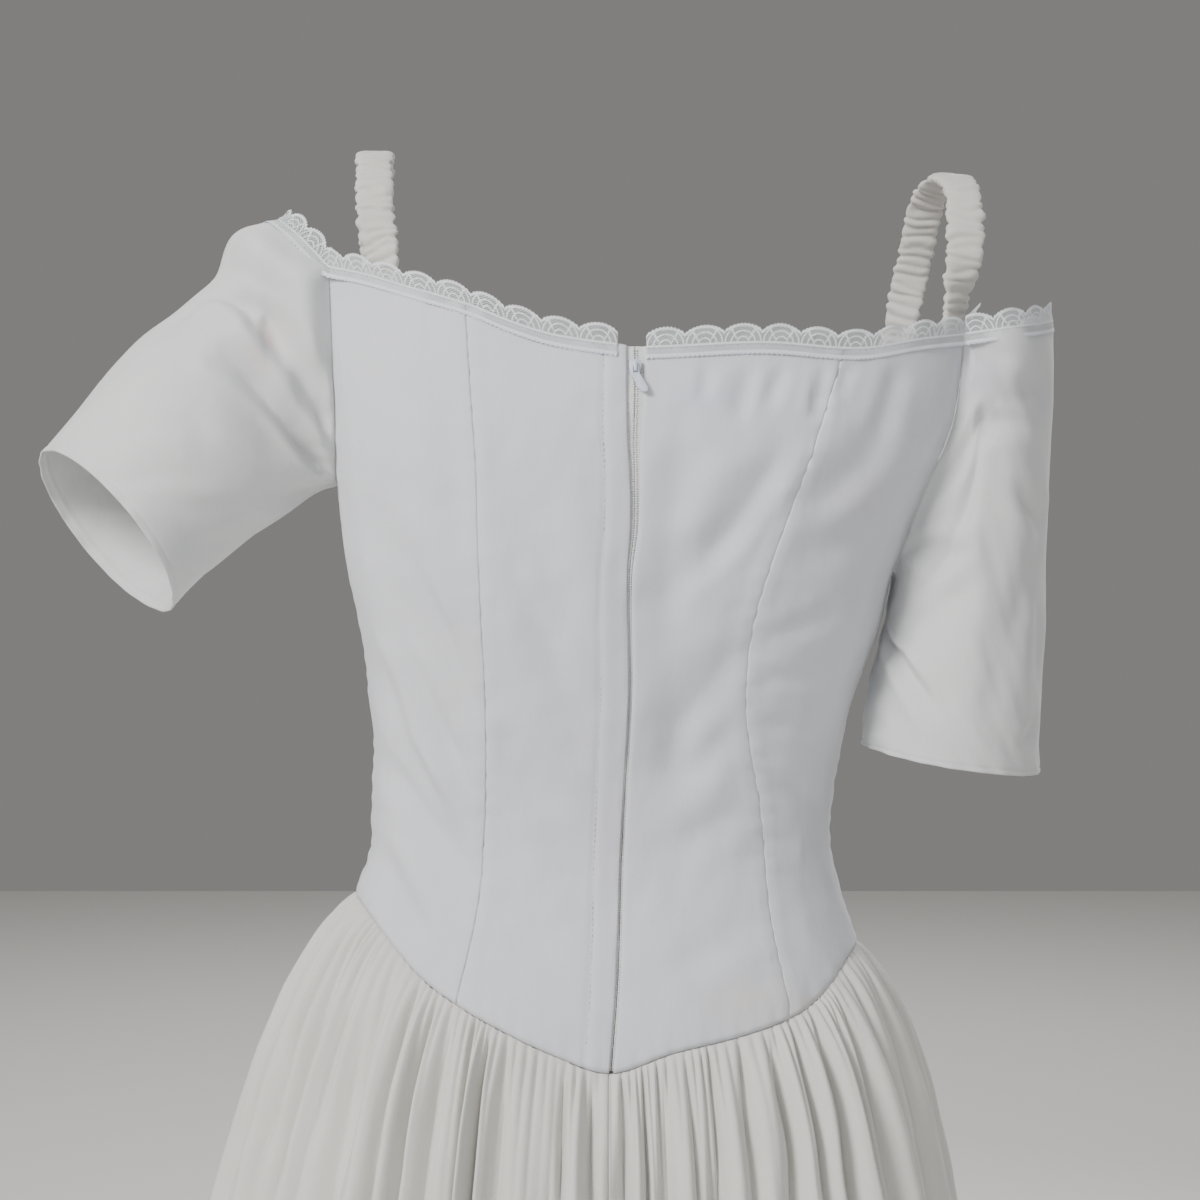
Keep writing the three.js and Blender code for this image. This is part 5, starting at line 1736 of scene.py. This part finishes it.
@dataclass
class Zip:
    """The zip: two tapes with their coils, the slider and its pull.

    Attributes:
        tape_wide: The width of a tape.
        tape_thick: Its thickness.
        behind: How far it lies behind the cloth.
        cloth: The bodice's wall.
        bottom: The height of its end.
        top: The height of its start.
        pitch: From one tooth to the next.
        tooth: The width of a tooth.
        middle_gap: The distance from the zip's middle to a tape.
        tape_steps: Steps across a tape.
        tape_rows: Steps along it.
        edge: How far the metal's edges are rounded.
    """

    tape_wide: float = 12
    tape_thick: float = 0.55
    behind: float = 0.5
    cloth: float = 1.6
    bottom: float = -484
    top: float = -111.5
    pitch: float = 1.25
    tooth: float = 1.15
    middle_gap: float = 0.2
    tape_steps: int = 17
    tape_rows: int = 190
    edge: float = 0.22

    def place(self, off: Array, z: Array, depth: Array | float) -> Array:
        """Points at distances from the zip's middle, a depth behind the cloth's inside.

        Args:
            off: Distances towards the wearer's left.
            z: Heights.
            depth: Depths behind the wall.

        Returns:
            The points.
        """
        x = LAP_EDGE.at("x", z) - LAP_EDGE.at("gap", z) / 2 + off
        theta = FORM.angle(x, z, 1)
        level = unit(FORM.normal(theta, z) * np.array([1, 1, 0]))
        return FORM.point(theta, z) - level * (self.cloth + self.behind + np.asarray(depth))[..., None]

    def tape(self, hand: int, name: str, cloth: Material) -> Object:
        """Builds one tape.

        Args:
            hand: 1 for the wearer's left and -1 for the right.
            name: Its node's name.
            cloth: The tape's material.

        Returns:
            The tape's object.
        """
        off = np.linspace(self.middle_gap, self.tape_wide, self.tape_steps)[None, :] * hand
        z = np.linspace(self.top, self.bottom, self.tape_rows)[:, None]
        off, z = np.broadcast_arrays(off, z)
        sag = 0.18 * ripple(z, off, 40, 71)
        points = self.place(off, z, sag + 0.35 * bump(np.abs(off) - 8, 1.2))
        out = FORM.normal(FORM.angle(points[..., 0], z, 1), z)
        flat = np.stack([off, z], axis=-1)
        bm = ClothGrid(points, out, flat).mesh(self.tape_thick)
        obj = place_piece(f"{name}_woven", bm, cloth)
        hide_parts(name)
        return obj

    def coil(self, hand: int, name: str, material: Material) -> Object:
        """Builds one row of teeth along a tape.

        Args:
            hand: 1 for the wearer's left and -1 for the right.
            name: The piece's name.
            material: The coil's material.

        Returns:
            The coil's object.
        """
        bm = bmesh.new()
        for z in np.arange(self.top - 2, self.bottom + 4, -self.pitch):
            at = self.place(np.array(hand * (self.middle_gap + self.tooth / 2)), np.array(float(z)), -0.35)
            turn = Matrix.Rotation(math.radians(8 * hand), 4, "Y")
            size = Matrix.Diagonal((self.tooth * 0.62, 0.62, self.pitch * 0.36, 1))
            place = Matrix.Translation(Vector((at * MM).tolist())) @ turn @ size @ Matrix.Scale(MM, 4)
            bmesh.ops.create_icosphere(bm, subdivisions=1, radius=1.0, matrix=place)
        return place_piece(name, bm, material)

    def metal(self, node: str, name: str, body: str, material: Material) -> Object:
        """Rounds the edges of a metal piece's solid.

        Args:
            node: The solid's name.
            name: The piece's name.
            body: The body that it rides on.
            material: Its enamel.

        Returns:
            The piece's object.
        """
        bm = bmesh.new()
        bm.from_mesh(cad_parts[node].data)
        bmesh.ops.remove_doubles(bm, verts=bm.verts, dist=1e-6)
        bmesh.ops.dissolve_limit(bm, angle_limit=math.radians(4), verts=bm.verts, edges=bm.edges)
        bent = math.radians(25)
        sharp = [edge for edge in bm.edges if edge.is_manifold and edge.calc_face_angle(0) > bent]
        rounding = {"affect": "EDGES", "segments": 3, "profile": 0.5, "material": -1, "clamp_overlap": True}
        bmesh.ops.bevel(bm, geom=sharp, offset=self.edge * MM, **rounding)
        obj = place_piece(name, bm, material, body=body)
        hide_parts(node)
        return obj

    def build(self, cloth: Material, enamel: Material) -> list[Object]:
        """Builds the whole zip.

        Args:
            cloth: The tapes' material.
            enamel: The slider's and the pull's material.

        Returns:
            The zip's objects.
        """
        return [
            self.tape(1, "zip_tape_left", cloth),
            self.tape(-1, "zip_tape_right", cloth),
            self.coil(1, "zip_coil_left", cloth),
            self.coil(-1, "zip_coil_right", cloth),
            self.metal("zip_slider", "zip_slider_enamelled", BODY, enamel),
            self.metal("zip_pull", "zip_pull_enamelled", PULL_BODY, enamel),
        ]


@dataclass
class Stitching:
    """The row of stitches along the lap.

    Attributes:
        top: The height that it starts at.
        bottom: The height that it ends at.
        sunk: How far its line lies below the form's face.
        raised: How far a stitch's middle stands above that line.
        long: The length of a stitch.
        step: From one stitch to the next.
        thread: The thread's thickness.
    """

    top: float = -113
    bottom: float = -478
    sunk: float = 0.55
    raised: float = 0.12
    long: float = 2.0
    step: float = 2.9
    thread: float = 0.3

    def build(self, thread: Material) -> Object:
        """Sews the row.

        Args:
            thread: The thread's material.

        Returns:
            The stitches as one object.
        """
        z = np.linspace(self.top, self.bottom, 400)
        x = LAP_EDGE.at("x", z) + np.interp(-z, STITCH_DROPS, STITCH_OFF)
        theta = FORM.angle(x, z, 1)
        out = FORM.normal(theta, z)
        measured = MeasuredLine(FORM.point(theta, z) - out * self.sunk)
        bm = bmesh.new()
        for place in np.arange(self.step, measured.length - self.step, self.step):
            at, way = measured.at(np.array(place)), unit(measured.at(np.array(place), out))
            along = unit(measured.at(np.array(place + 1.0)) - measured.at(np.array(place - 1.0)))
            side = unit(np.cross(along, way))
            turn = Matrix([(*along, 0), (*side, 0), (*np.cross(along, side), 0), (0, 0, 0, 1)]).transposed()
            size = Matrix.Diagonal((self.long / 2, self.thread, self.thread, 1)) @ Matrix.Scale(MM, 4)
            place_at = Matrix.Translation(Vector(((at + way * self.raised) * MM).tolist())) @ turn @ size
            bmesh.ops.create_icosphere(bm, subdivisions=1, radius=1.0, matrix=place_at)
        return place_piece("lap_stitches", bm, thread)


@dataclass(frozen=True)
class Value:
    """A socket that can be reckoned with like a number.

    Attributes:
        graph: The graph that its nodes go to.
        socket: The socket.
    """

    graph: Graph
    socket: NodeSocket

    def math(self, operation: str, *others: float | Value, first: float | None = None) -> Value:
        """A Math node on this value and others, or on a number that comes first and this value."""
        values = [first, self] if first is not None else [self, *others]
        node = self.graph.node("ShaderNodeMath", {"operation": operation}, dict(enumerate(values)))
        return Value(self.graph, node.outputs[0])

    def __add__(self, other: float | Value) -> Value:
        """The sum."""
        return self.math("ADD", other)

    def __sub__(self, other: float | Value) -> Value:
        """The difference."""
        return self.math("SUBTRACT", other)

    def __rsub__(self, other: float) -> Value:
        """The difference from a number."""
        return self.math("SUBTRACT", first=other)

    def __mul__(self, other: float | Value) -> Value:
        """The product."""
        return self.math("MULTIPLY", other)

    def __truediv__(self, other: float | Value) -> Value:
        """The quotient."""
        return self.math("DIVIDE", other)

    def __pow__(self, other: float) -> Value:
        """The power."""
        return self.math("POWER", other)

    def sine(self) -> Value:
        """Its sine."""
        return self.math("SINE")

    def size(self) -> Value:
        """Its size without its sign."""
        return self.math("ABSOLUTE")

    def over(self, edge: float | Value) -> Value:
        """1 where it is larger than an edge, and 0 elsewhere."""
        return self.math("GREATER_THAN", edge)

    def higher(self, other: float | Value) -> Value:
        """The larger of two."""
        return self.math("MAXIMUM", other)

    def folded(self, step: float) -> Value:
        """Its distance from the nearest multiple of a step."""
        return (self.math("FLOORED_MODULO", step) - step / 2).size() * -1 + step / 2

    def ramp(self, low: float, high: float) -> Value:
        """0 at one number and 1 at another, smooth between them and level beyond."""
        inputs = {"Value": self, "From Min": low, "From Max": high}
        node = self.graph.node("ShaderNodeMapRange", {"interpolation_type": "SMOOTHSTEP"}, inputs)
        return Value(self.graph, node.outputs["Result"])


class Graph:
    """The shader nodes of one material."""

    def __init__(self, name: str) -> None:
        """Makes the material with its output and its shader.

        Args:
            name: The material's name.
        """
        self.material = bpy.data.materials.new(name)
        self.material.use_nodes = True
        self.tree = self.material.node_tree
        self.tree.nodes.clear()
        self.output = self.tree.nodes.new("ShaderNodeOutputMaterial")
        self.shader = self.tree.nodes.new("ShaderNodeBsdfPrincipled")
        self.show(self.shader.outputs[0])

    def show(self, socket: NodeSocket) -> None:
        """Puts a shader on the surface."""
        self.tree.links.new(socket, self.output.inputs["Surface"])

    def node(self, kind: str, settings: dict[str, object], inputs: dict[str | int, object]) -> Node:
        """Adds a node.

        Args:
            kind: The node's type.
            settings: Its properties, which are set first.
            inputs: Values or links of its sockets.

        Returns:
            The node.
        """
        node = self.tree.nodes.new(kind)
        for key, value in settings.items():
            setattr(node, key, value)
        for key, value in inputs.items():
            self.feed(node.inputs[key], value)
        return node

    def feed(self, socket: NodeSocket, value: object) -> None:
        """Sets a socket, or links it where the value is one."""
        if isinstance(value, Value):
            self.tree.links.new(value.socket, socket)
        elif isinstance(value, NodeSocket):
            self.tree.links.new(value, socket)
        else:
            socket.default_value = value

    def place(self) -> NodeSocket:
        """Places in the dress's own frame."""
        return self.node("ShaderNodeTexCoord", {}, {}).outputs["Object"]

    def flat(self) -> tuple[Value, Value]:
        """Places on the flat cloth, in millimetres."""
        uv = self.node("ShaderNodeUVMap", {"uv_map": "UVMap"}, {}).outputs[0]
        parts = self.node("ShaderNodeSeparateXYZ", {}, {0: uv})
        return Value(self, parts.outputs[0]), Value(self, parts.outputs[1])

    def noise(self, place: NodeSocket, scale: float, detail: float) -> Value:
        """Soft noise."""
        node = self.node("ShaderNodeTexNoise", {}, {"Vector": place, "Scale": scale, "Detail": detail})
        return Value(self, node.outputs[0])

    def stretched(self, place: NodeSocket, scale: Point) -> NodeSocket:
        """Places scaled differently in each direction."""
        return self.node("ShaderNodeMapping", {}, {"Vector": place, "Scale": scale}).outputs[0]

    def near(self, place: NodeSocket, at: Point, size: Point) -> Value:
        """1 at one place and falling softly to 0 at the edge of an ellipsoid round it.

        Args:
            place: The socket with the places.
            at: The one place.
            size: The ellipsoid's half sizes.

        Returns:
            The value.
        """
        offset = self.node("ShaderNodeVectorMath", {"operation": "SUBTRACT"}, {0: place, 1: at})
        scaled = self.node("ShaderNodeVectorMath", {"operation": "DIVIDE"}, {0: offset.outputs[0], 1: size})
        length = self.node("ShaderNodeVectorMath", {"operation": "LENGTH"}, {0: scaled.outputs[0]})
        return Value(self, length.outputs["Value"]).ramp(1.0, 0.0)

    def blend(self, factor: float | Value, a: object, b: object) -> NodeSocket:
        """Two colours mixed by a factor."""
        return self.node("ShaderNodeMix", {"data_type": "RGBA"}, {0: factor, 6: a, 7: b}).outputs[2]

    def bump(self, height: Value, distance: float, strength: float = 1.0) -> NodeSocket:
        """A surface raised by a height of up to a distance, in metres."""
        inputs = {"Height": height, "Distance": distance, "Strength": strength}
        return self.node("ShaderNodeBump", {}, inputs).outputs[0]

    def finish(self, **sockets: object) -> Material:
        """Sets the shader's sockets, with spaces written as underscores, and returns the material."""
        for key, value in sockets.items():
            self.feed(self.shader.inputs[key.replace("_", " ")], value)
        return self.material


Colour = tuple[float, float, float, float]


@dataclass(frozen=True)
class TintAndShadePatch:
    """A faint patch of colour on the cloth, in metres; some are tints and some are painted shade in creases.

    Attributes:
        at: Its middle.
        size: Its half sizes.
        colour: Its colour.
        strength: How much of that colour its middle has.
    """

    at: Point
    size: Point
    colour: Colour
    strength: float


@dataclass(frozen=True)
class CottonFinish:
    """Plain-woven cotton.

    Attributes:
        name: The material's name.
        colour: Its usual colour.
        shade: The colour of its slightly greyer patches.
        pitch: From one thread to the next, in millimetres.
        rough: Its roughness.
        through: The share of light that it lets through.
        tints_and_shade: Its faint tints, and its painted shade in some creases and troughs.
        crumple: The height of its finest crumples, in metres.
        weave: The height of its threads, in metres.
    """

    name: str
    colour: Colour
    shade: Colour
    pitch: float = 0.42
    rough: float = 0.86
    through: float = 0.16
    tints_and_shade: tuple[TintAndShadePatch, ...] = ()
    crumple: float = 0.0005
    weave: float = 0.00003

    def material(self) -> Material:
        """Builds the cloth's material."""
        graph = Graph(self.name)
        place = graph.place()
        u, v = graph.flat()
        turn = TURN / self.pitch
        slubs = graph.noise(graph.stretched(place, (1250, 1250, 48)), 1.0, 1.0)
        threads = (u * turn).sine() * 0.5 + (v * turn).sine() * 0.5
        patches = graph.noise(place, 14, 3.0).ramp(0.38, 0.66)
        colour = graph.blend(patches * 0.5, self.colour, self.shade)
        colour = graph.blend(slubs.ramp(0.5, 0.78) * 0.5, colour, self.shade)
        # Faint tints, and painted shade in some creases and troughs, mixed into the colour by place
        for coloured_patch in self.tints_and_shade:
            spread = graph.near(place, coloured_patch.at, coloured_patch.size) * graph.noise(place, 60, 3.0).ramp(0.3, 0.62)
            colour = graph.blend(spread * coloured_patch.strength, colour, coloured_patch.colour)
        crumple = graph.noise(graph.stretched(place, (1.0, 1.0, 0.55)), 85, 3.0)
        fine = graph.bump(threads, self.weave, 0.6)
        inputs = {"Height": crumple, "Distance": self.crumple, "Normal": fine}
        normal = graph.node("ShaderNodeBump", {}, inputs).outputs[0]
        cloth = graph.finish(
            Base_Color=colour,
            Roughness=self.rough,
            Normal=normal,
            Sheen_Weight=0.25,
            Sheen_Roughness=0.5,
            Specular_IOR_Level=0.25,
        )
        light = graph.node("ShaderNodeBsdfTranslucent", {}, {"Color": self.colour, "Normal": normal})
        shaders = {0: self.through, 1: graph.shader.outputs[0], 2: light.outputs[0]}
        graph.show(graph.node("ShaderNodeMixShader", {}, shaders).outputs[0])
        return cloth


@dataclass(frozen=True)
class LaceFinish:
    """Net lace with a dense scalloped edge, fan arcs in each scallop and a stitched heading.

    Attributes:
        name: The material's name.
        thread: The colour of its thread.
        step: The length of a scallop, in millimetres.
        tip: How far a scallop's tip stands above the cloth's edge.
        dip: How far the edge falls between two scallops.
        heading: Where the solid heading starts, below the cloth's edge.
        arc: From one arc of a fan to the next.
        fan: How far a fan's middle lies below the scallop's tip.
        mesh: From one thread of the net to the next.
        picot: From one small loop of the edge to the next.
        fringe: From one tooth of the lower edge to the next.
    """

    name: str
    thread: Colour
    step: float = 20.0
    tip: float = 10.1
    dip: float = 4.4
    heading: float = -4.6
    arc: float = 3.1
    fan: float = 10.5
    mesh: float = 1.9
    picot: float = 1.9
    fringe: float = 2.6

    def material(self) -> Material:
        """Builds the lace's material, see-through between its threads."""
        graph = Graph(self.name)
        u, v = graph.flat()
        wave = (u * (math.pi / self.step)).sine().size()
        rim = wave**0.55 * self.dip + (self.tip - self.dip)
        inside = (rim - v).over(0.0)
        dense = (rim - v).ramp(2.5, 1.7)
        picot = ((u * (TURN / self.picot)).sine() * 0.35 + 0.5 - (rim - v)).over(0.0)
        across = u.folded(self.step) - self.step / 2
        out = v - (self.tip - self.fan)
        reach = (across * across + out * out) ** 0.5
        rings = reach.folded(self.arc).ramp(0.5, 0.26)
        arcs = rings * (out + 2).ramp(0.0, 2.0) * (self.step / 2 + 0.2 - reach).over(0.0)
        slant = (across / (out + 4.2)).math("ARCTANGENT")
        spokes = (slant * 9.5).sine().ramp(0.86, 0.97) * out.ramp(0.5, 2.5)
        diagonal = (u + v * 1.6).folded(self.mesh).ramp(0.24, 0.1)
        other = (u - v * 1.6).folded(self.mesh).ramp(0.24, 0.1)
        head = (v * -1).over(-self.heading)
        band = (v + 0.6).size().ramp(0.75, 0.4)
        threads = dense.higher(arcs).higher(spokes).higher(diagonal).higher(other).higher(head).higher(band)
        fringe = ((u * (TURN / self.fringe)).sine() * 0.3 + (v + 6.9)).over(0.0)
        clear = inside * (1 - picot) * threads * fringe
        stitches = (v + 6.2).size().ramp(0.55, 0.25) * u.folded(2.4).ramp(0.35, 0.6)
        colour = graph.blend(stitches * 0.8, self.thread, (0.62, 0.72, 0.9, 1))
        raised = dense * 0.7 + arcs * 0.6 + band * 0.1 + stitches * 0.8 + diagonal * 0.3 + other * 0.3
        return graph.finish(
            Base_Color=colour,
            Roughness=0.8,
            Alpha=clear,
            Normal=graph.bump(raised, 0.0003),
            Sheen_Weight=0.2,
            Specular_IOR_Level=0.3,
        )


@dataclass(frozen=True)
class SmoothFinish:
    """A plain finish for tape, thread and enamel.

    Attributes:
        name: The material's name.
        colour: Its colour.
        rough: Its roughness.
        metallic: How metallic it is.
        coat: The weight of its clear coat.
        ribs: From one woven rib to the next, in millimetres, or 0 for none.
    """

    name: str
    colour: Colour
    rough: float
    metallic: float = 0.0
    coat: float = 0.0
    ribs: float = 0.0

    def material(self) -> Material:
        """Builds the material."""
        graph = Graph(self.name)
        place = graph.place()
        wear = graph.noise(place, 420, 3.0)
        rough = wear * 0.16 + (self.rough - 0.08)
        darker = tuple(channel * 0.93 for channel in self.colour[:3]) + (1.0,)
        colour = graph.blend(wear.ramp(0.4, 0.7), self.colour, darker)
        height, raised = wear, 0.00005
        if self.ribs:
            _, v = graph.flat()
            height, raised = (v * (TURN / self.ribs)).sine() * 0.5 + wear * 0.3, 0.0002
        return graph.finish(
            Base_Color=colour,
            Normal=graph.bump(height, raised),
            Coat_Weight=self.coat,
            Roughness=rough,
            Metallic=self.metallic,
        )


# painted shade: this pink paints the shadow in a sleeve's crease
CREASE_SHADE_PINK = (0.80, 0.60, 0.60, 1.0)
LILAC = (0.66, 0.62, 0.76, 1.0)
BLUE = (0.60, 0.68, 0.82, 1.0)
ORANGE = (0.80, 0.66, 0.52, 1.0)
CREAM = (0.77, 0.77, 0.69, 1.0)

BODICE_COTTON = CottonFinish(
    "bodice cotton",
    (0.757, 0.768, 0.805, 1),
    (0.70, 0.714, 0.762, 1),
    tints_and_shade=(
        TintAndShadePatch((0.003, 0.075, -0.372), (0.017, 0.05, 0.05), LILAC, 0.5),
        TintAndShadePatch((0.084, 0.07, -0.278), (0.022, 0.06, 0.034), CREAM, 0.5),
        TintAndShadePatch((-0.085, 0.075, -0.452), (0.05, 0.05, 0.022), ORANGE, 0.4),
        TintAndShadePatch((-0.045, 0.095, -0.137), (0.03, 0.04, 0.02), BLUE, 0.5),
        # painted shade: the lilac-grey shadow in the trough on the right side back panel
        TintAndShadePatch((-0.125, 0.07, -0.187), (0.03, 0.06, 0.03), LILAC, 0.45),
    ),
)
SLEEVE_COTTON = CottonFinish(
    "sleeve cotton",
    (0.75, 0.755, 0.755, 1),
    (0.69, 0.70, 0.71, 1),
    tints_and_shade=(
        # painted shade: the pinkish shadow in the left sleeve's deep crease
        TintAndShadePatch((0.185, 0.05, -0.105), (0.022, 0.05, 0.022), CREASE_SHADE_PINK, 0.65),
        TintAndShadePatch((-0.19, 0.055, -0.12), (0.03, 0.05, 0.022), LILAC, 0.6),
    ),
)
SKIRT_COTTON = CottonFinish("skirt cotton", (0.76, 0.745, 0.705, 1), (0.70, 0.685, 0.645, 1), crumple=0.0007)
STRAP_COTTON = CottonFinish("strap cotton", (0.715, 0.682, 0.64, 1), (0.65, 0.62, 0.58, 1), crumple=0.0006)
LACE_NET = LaceFinish("lace net", (0.80, 0.82, 0.845, 1))
WOVEN_TAPE = SmoothFinish("woven tape", (0.76, 0.76, 0.755, 1), 0.8, ribs=0.9)
ENAMEL = SmoothFinish("pale enamel", (0.60, 0.64, 0.74, 1), 0.42, metallic=0.15, coat=0.3)
THREAD = SmoothFinish("sewing thread", (0.62, 0.64, 0.69, 1), 0.75)


@dataclass
class Studio:
    """The pale floor, the soft lights and the camera.

    Attributes:
        distance: From the camera to the middle of the dress.
        aim: The height that the camera looks along.
        aside: The camera's distance from the middle.
        frame_wide: The width of the picture at the middle of the dress.
        middle: The height that the lights look at.
        floor: The floor's height.
    """

    distance: float = 1.4
    aim: float = -0.242
    aside: float = 0.00825
    frame_wide: float = 0.66
    middle: float = -0.45
    floor: float = -1.4312

    def camera(self) -> Object:
        """Makes the camera behind the dress, looking level at it."""
        data = bpy.data.cameras.new("camera")
        data.sensor_width = 36
        data.lens = data.sensor_width * self.distance / self.frame_wide
        camera = bpy.data.objects.new("camera", data)
        camera.location = (self.aside, self.distance, self.aim)
        camera.rotation_euler = (math.radians(90), 0, math.radians(180))
        bpy.context.scene.collection.objects.link(camera)
        bpy.context.scene.camera = camera
        return camera

    def light(self, name: str, at: Point, wide: float, watts: float, colour: Point) -> Object:
        """Adds a soft light that looks at the dress's middle, or at the floor beyond it from far in front.

        Args:
            name: The light's name.
            at: Its place.
            wide: Its width.
            watts: Its power.
            colour: Its colour.

        Returns:
            The light.
        """
        data = bpy.data.lights.new(name, "AREA")
        data.size, data.energy, data.color = wide, watts, colour
        light = bpy.data.objects.new(name, data)
        light.location = at
        far = -4
        target = Vector((0, 0 if at[1] > far else far, self.middle))
        light.rotation_euler = (target - Vector(at)).to_track_quat("-Z", "Y").to_euler()
        bpy.context.scene.collection.objects.link(light)
        return light

    def build(self) -> None:
        """Lays the floor and hangs the lights."""
        bm = bmesh.new()
        level = Matrix.Translation((0, 0, self.floor))
        bmesh.ops.create_grid(bm, x_segments=1, y_segments=1, size=9, matrix=level)
        mesh = bpy.data.meshes.new("floor")
        bm.to_mesh(mesh)
        bm.free()
        mesh.materials.append(SmoothFinish("pale floor", (0.74, 0.73, 0.71, 1), 0.9).material())
        floor = bpy.data.objects.new("floor", mesh)
        bpy.context.scene.collection.objects.link(floor)
        lights = [
            self.light("key", (1.7, 1.8, 1.25), 0.9, 101, (1, 0.99, 0.975)),
            self.light("back fill", (0.1, 2.9, 0.6), 1.6, 21, (0.95, 0.97, 1)),
            self.light("right fill", (-2.4, 1.2, -0.1), 1.6, 8, (0.93, 0.96, 1)),
            self.light("front", (-1.5, -2.4, 1.0), 1.4, 60, (1, 1, 1)),
            self.light("floor wash", (0, -4.5, 3.0), 4.0, 160, (1, 0.99, 0.97)),
            self.light("top", (0, 0.3, 2.4), 1.6, 16, (1, 1, 1)),
        ]
        world = bpy.data.worlds.new("studio")
        world.use_nodes = True
        sky = world.node_tree.nodes["Background"]
        sky.inputs["Color"].default_value = (0.52, 0.51, 0.49, 1)
        sky.inputs["Strength"].default_value = 0.42
        bpy.context.scene.world = world


def main() -> None:
    """Builds the dress piece by piece, and says what was made."""
    logging.basicConfig(level=logging.INFO, format="%(name)s: %(message)s")
    studio = Studio()
    studio.camera()
    tape, enamel, thread = WOVEN_TAPE.material(), ENAMEL.material(), THREAD.material()
    pieces = [
        *Bodice().build(BODICE_COTTON.material()),
        *Skirt().build(SKIRT_COTTON.material()),
        *Sleeves().build(SLEEVE_COTTON.material()),
        LaceEdging().build(LACE_NET.material()),
        *Straps().build(STRAP_COTTON.material()),
        *Zip().build(tape, enamel),
        Stitching().build(thread),
    ]
    studio.build()
    for piece in pieces:
        log.info("%s: %d faces", piece.name, len(piece.data.polygons))


if __name__ == "__main__":
    main()
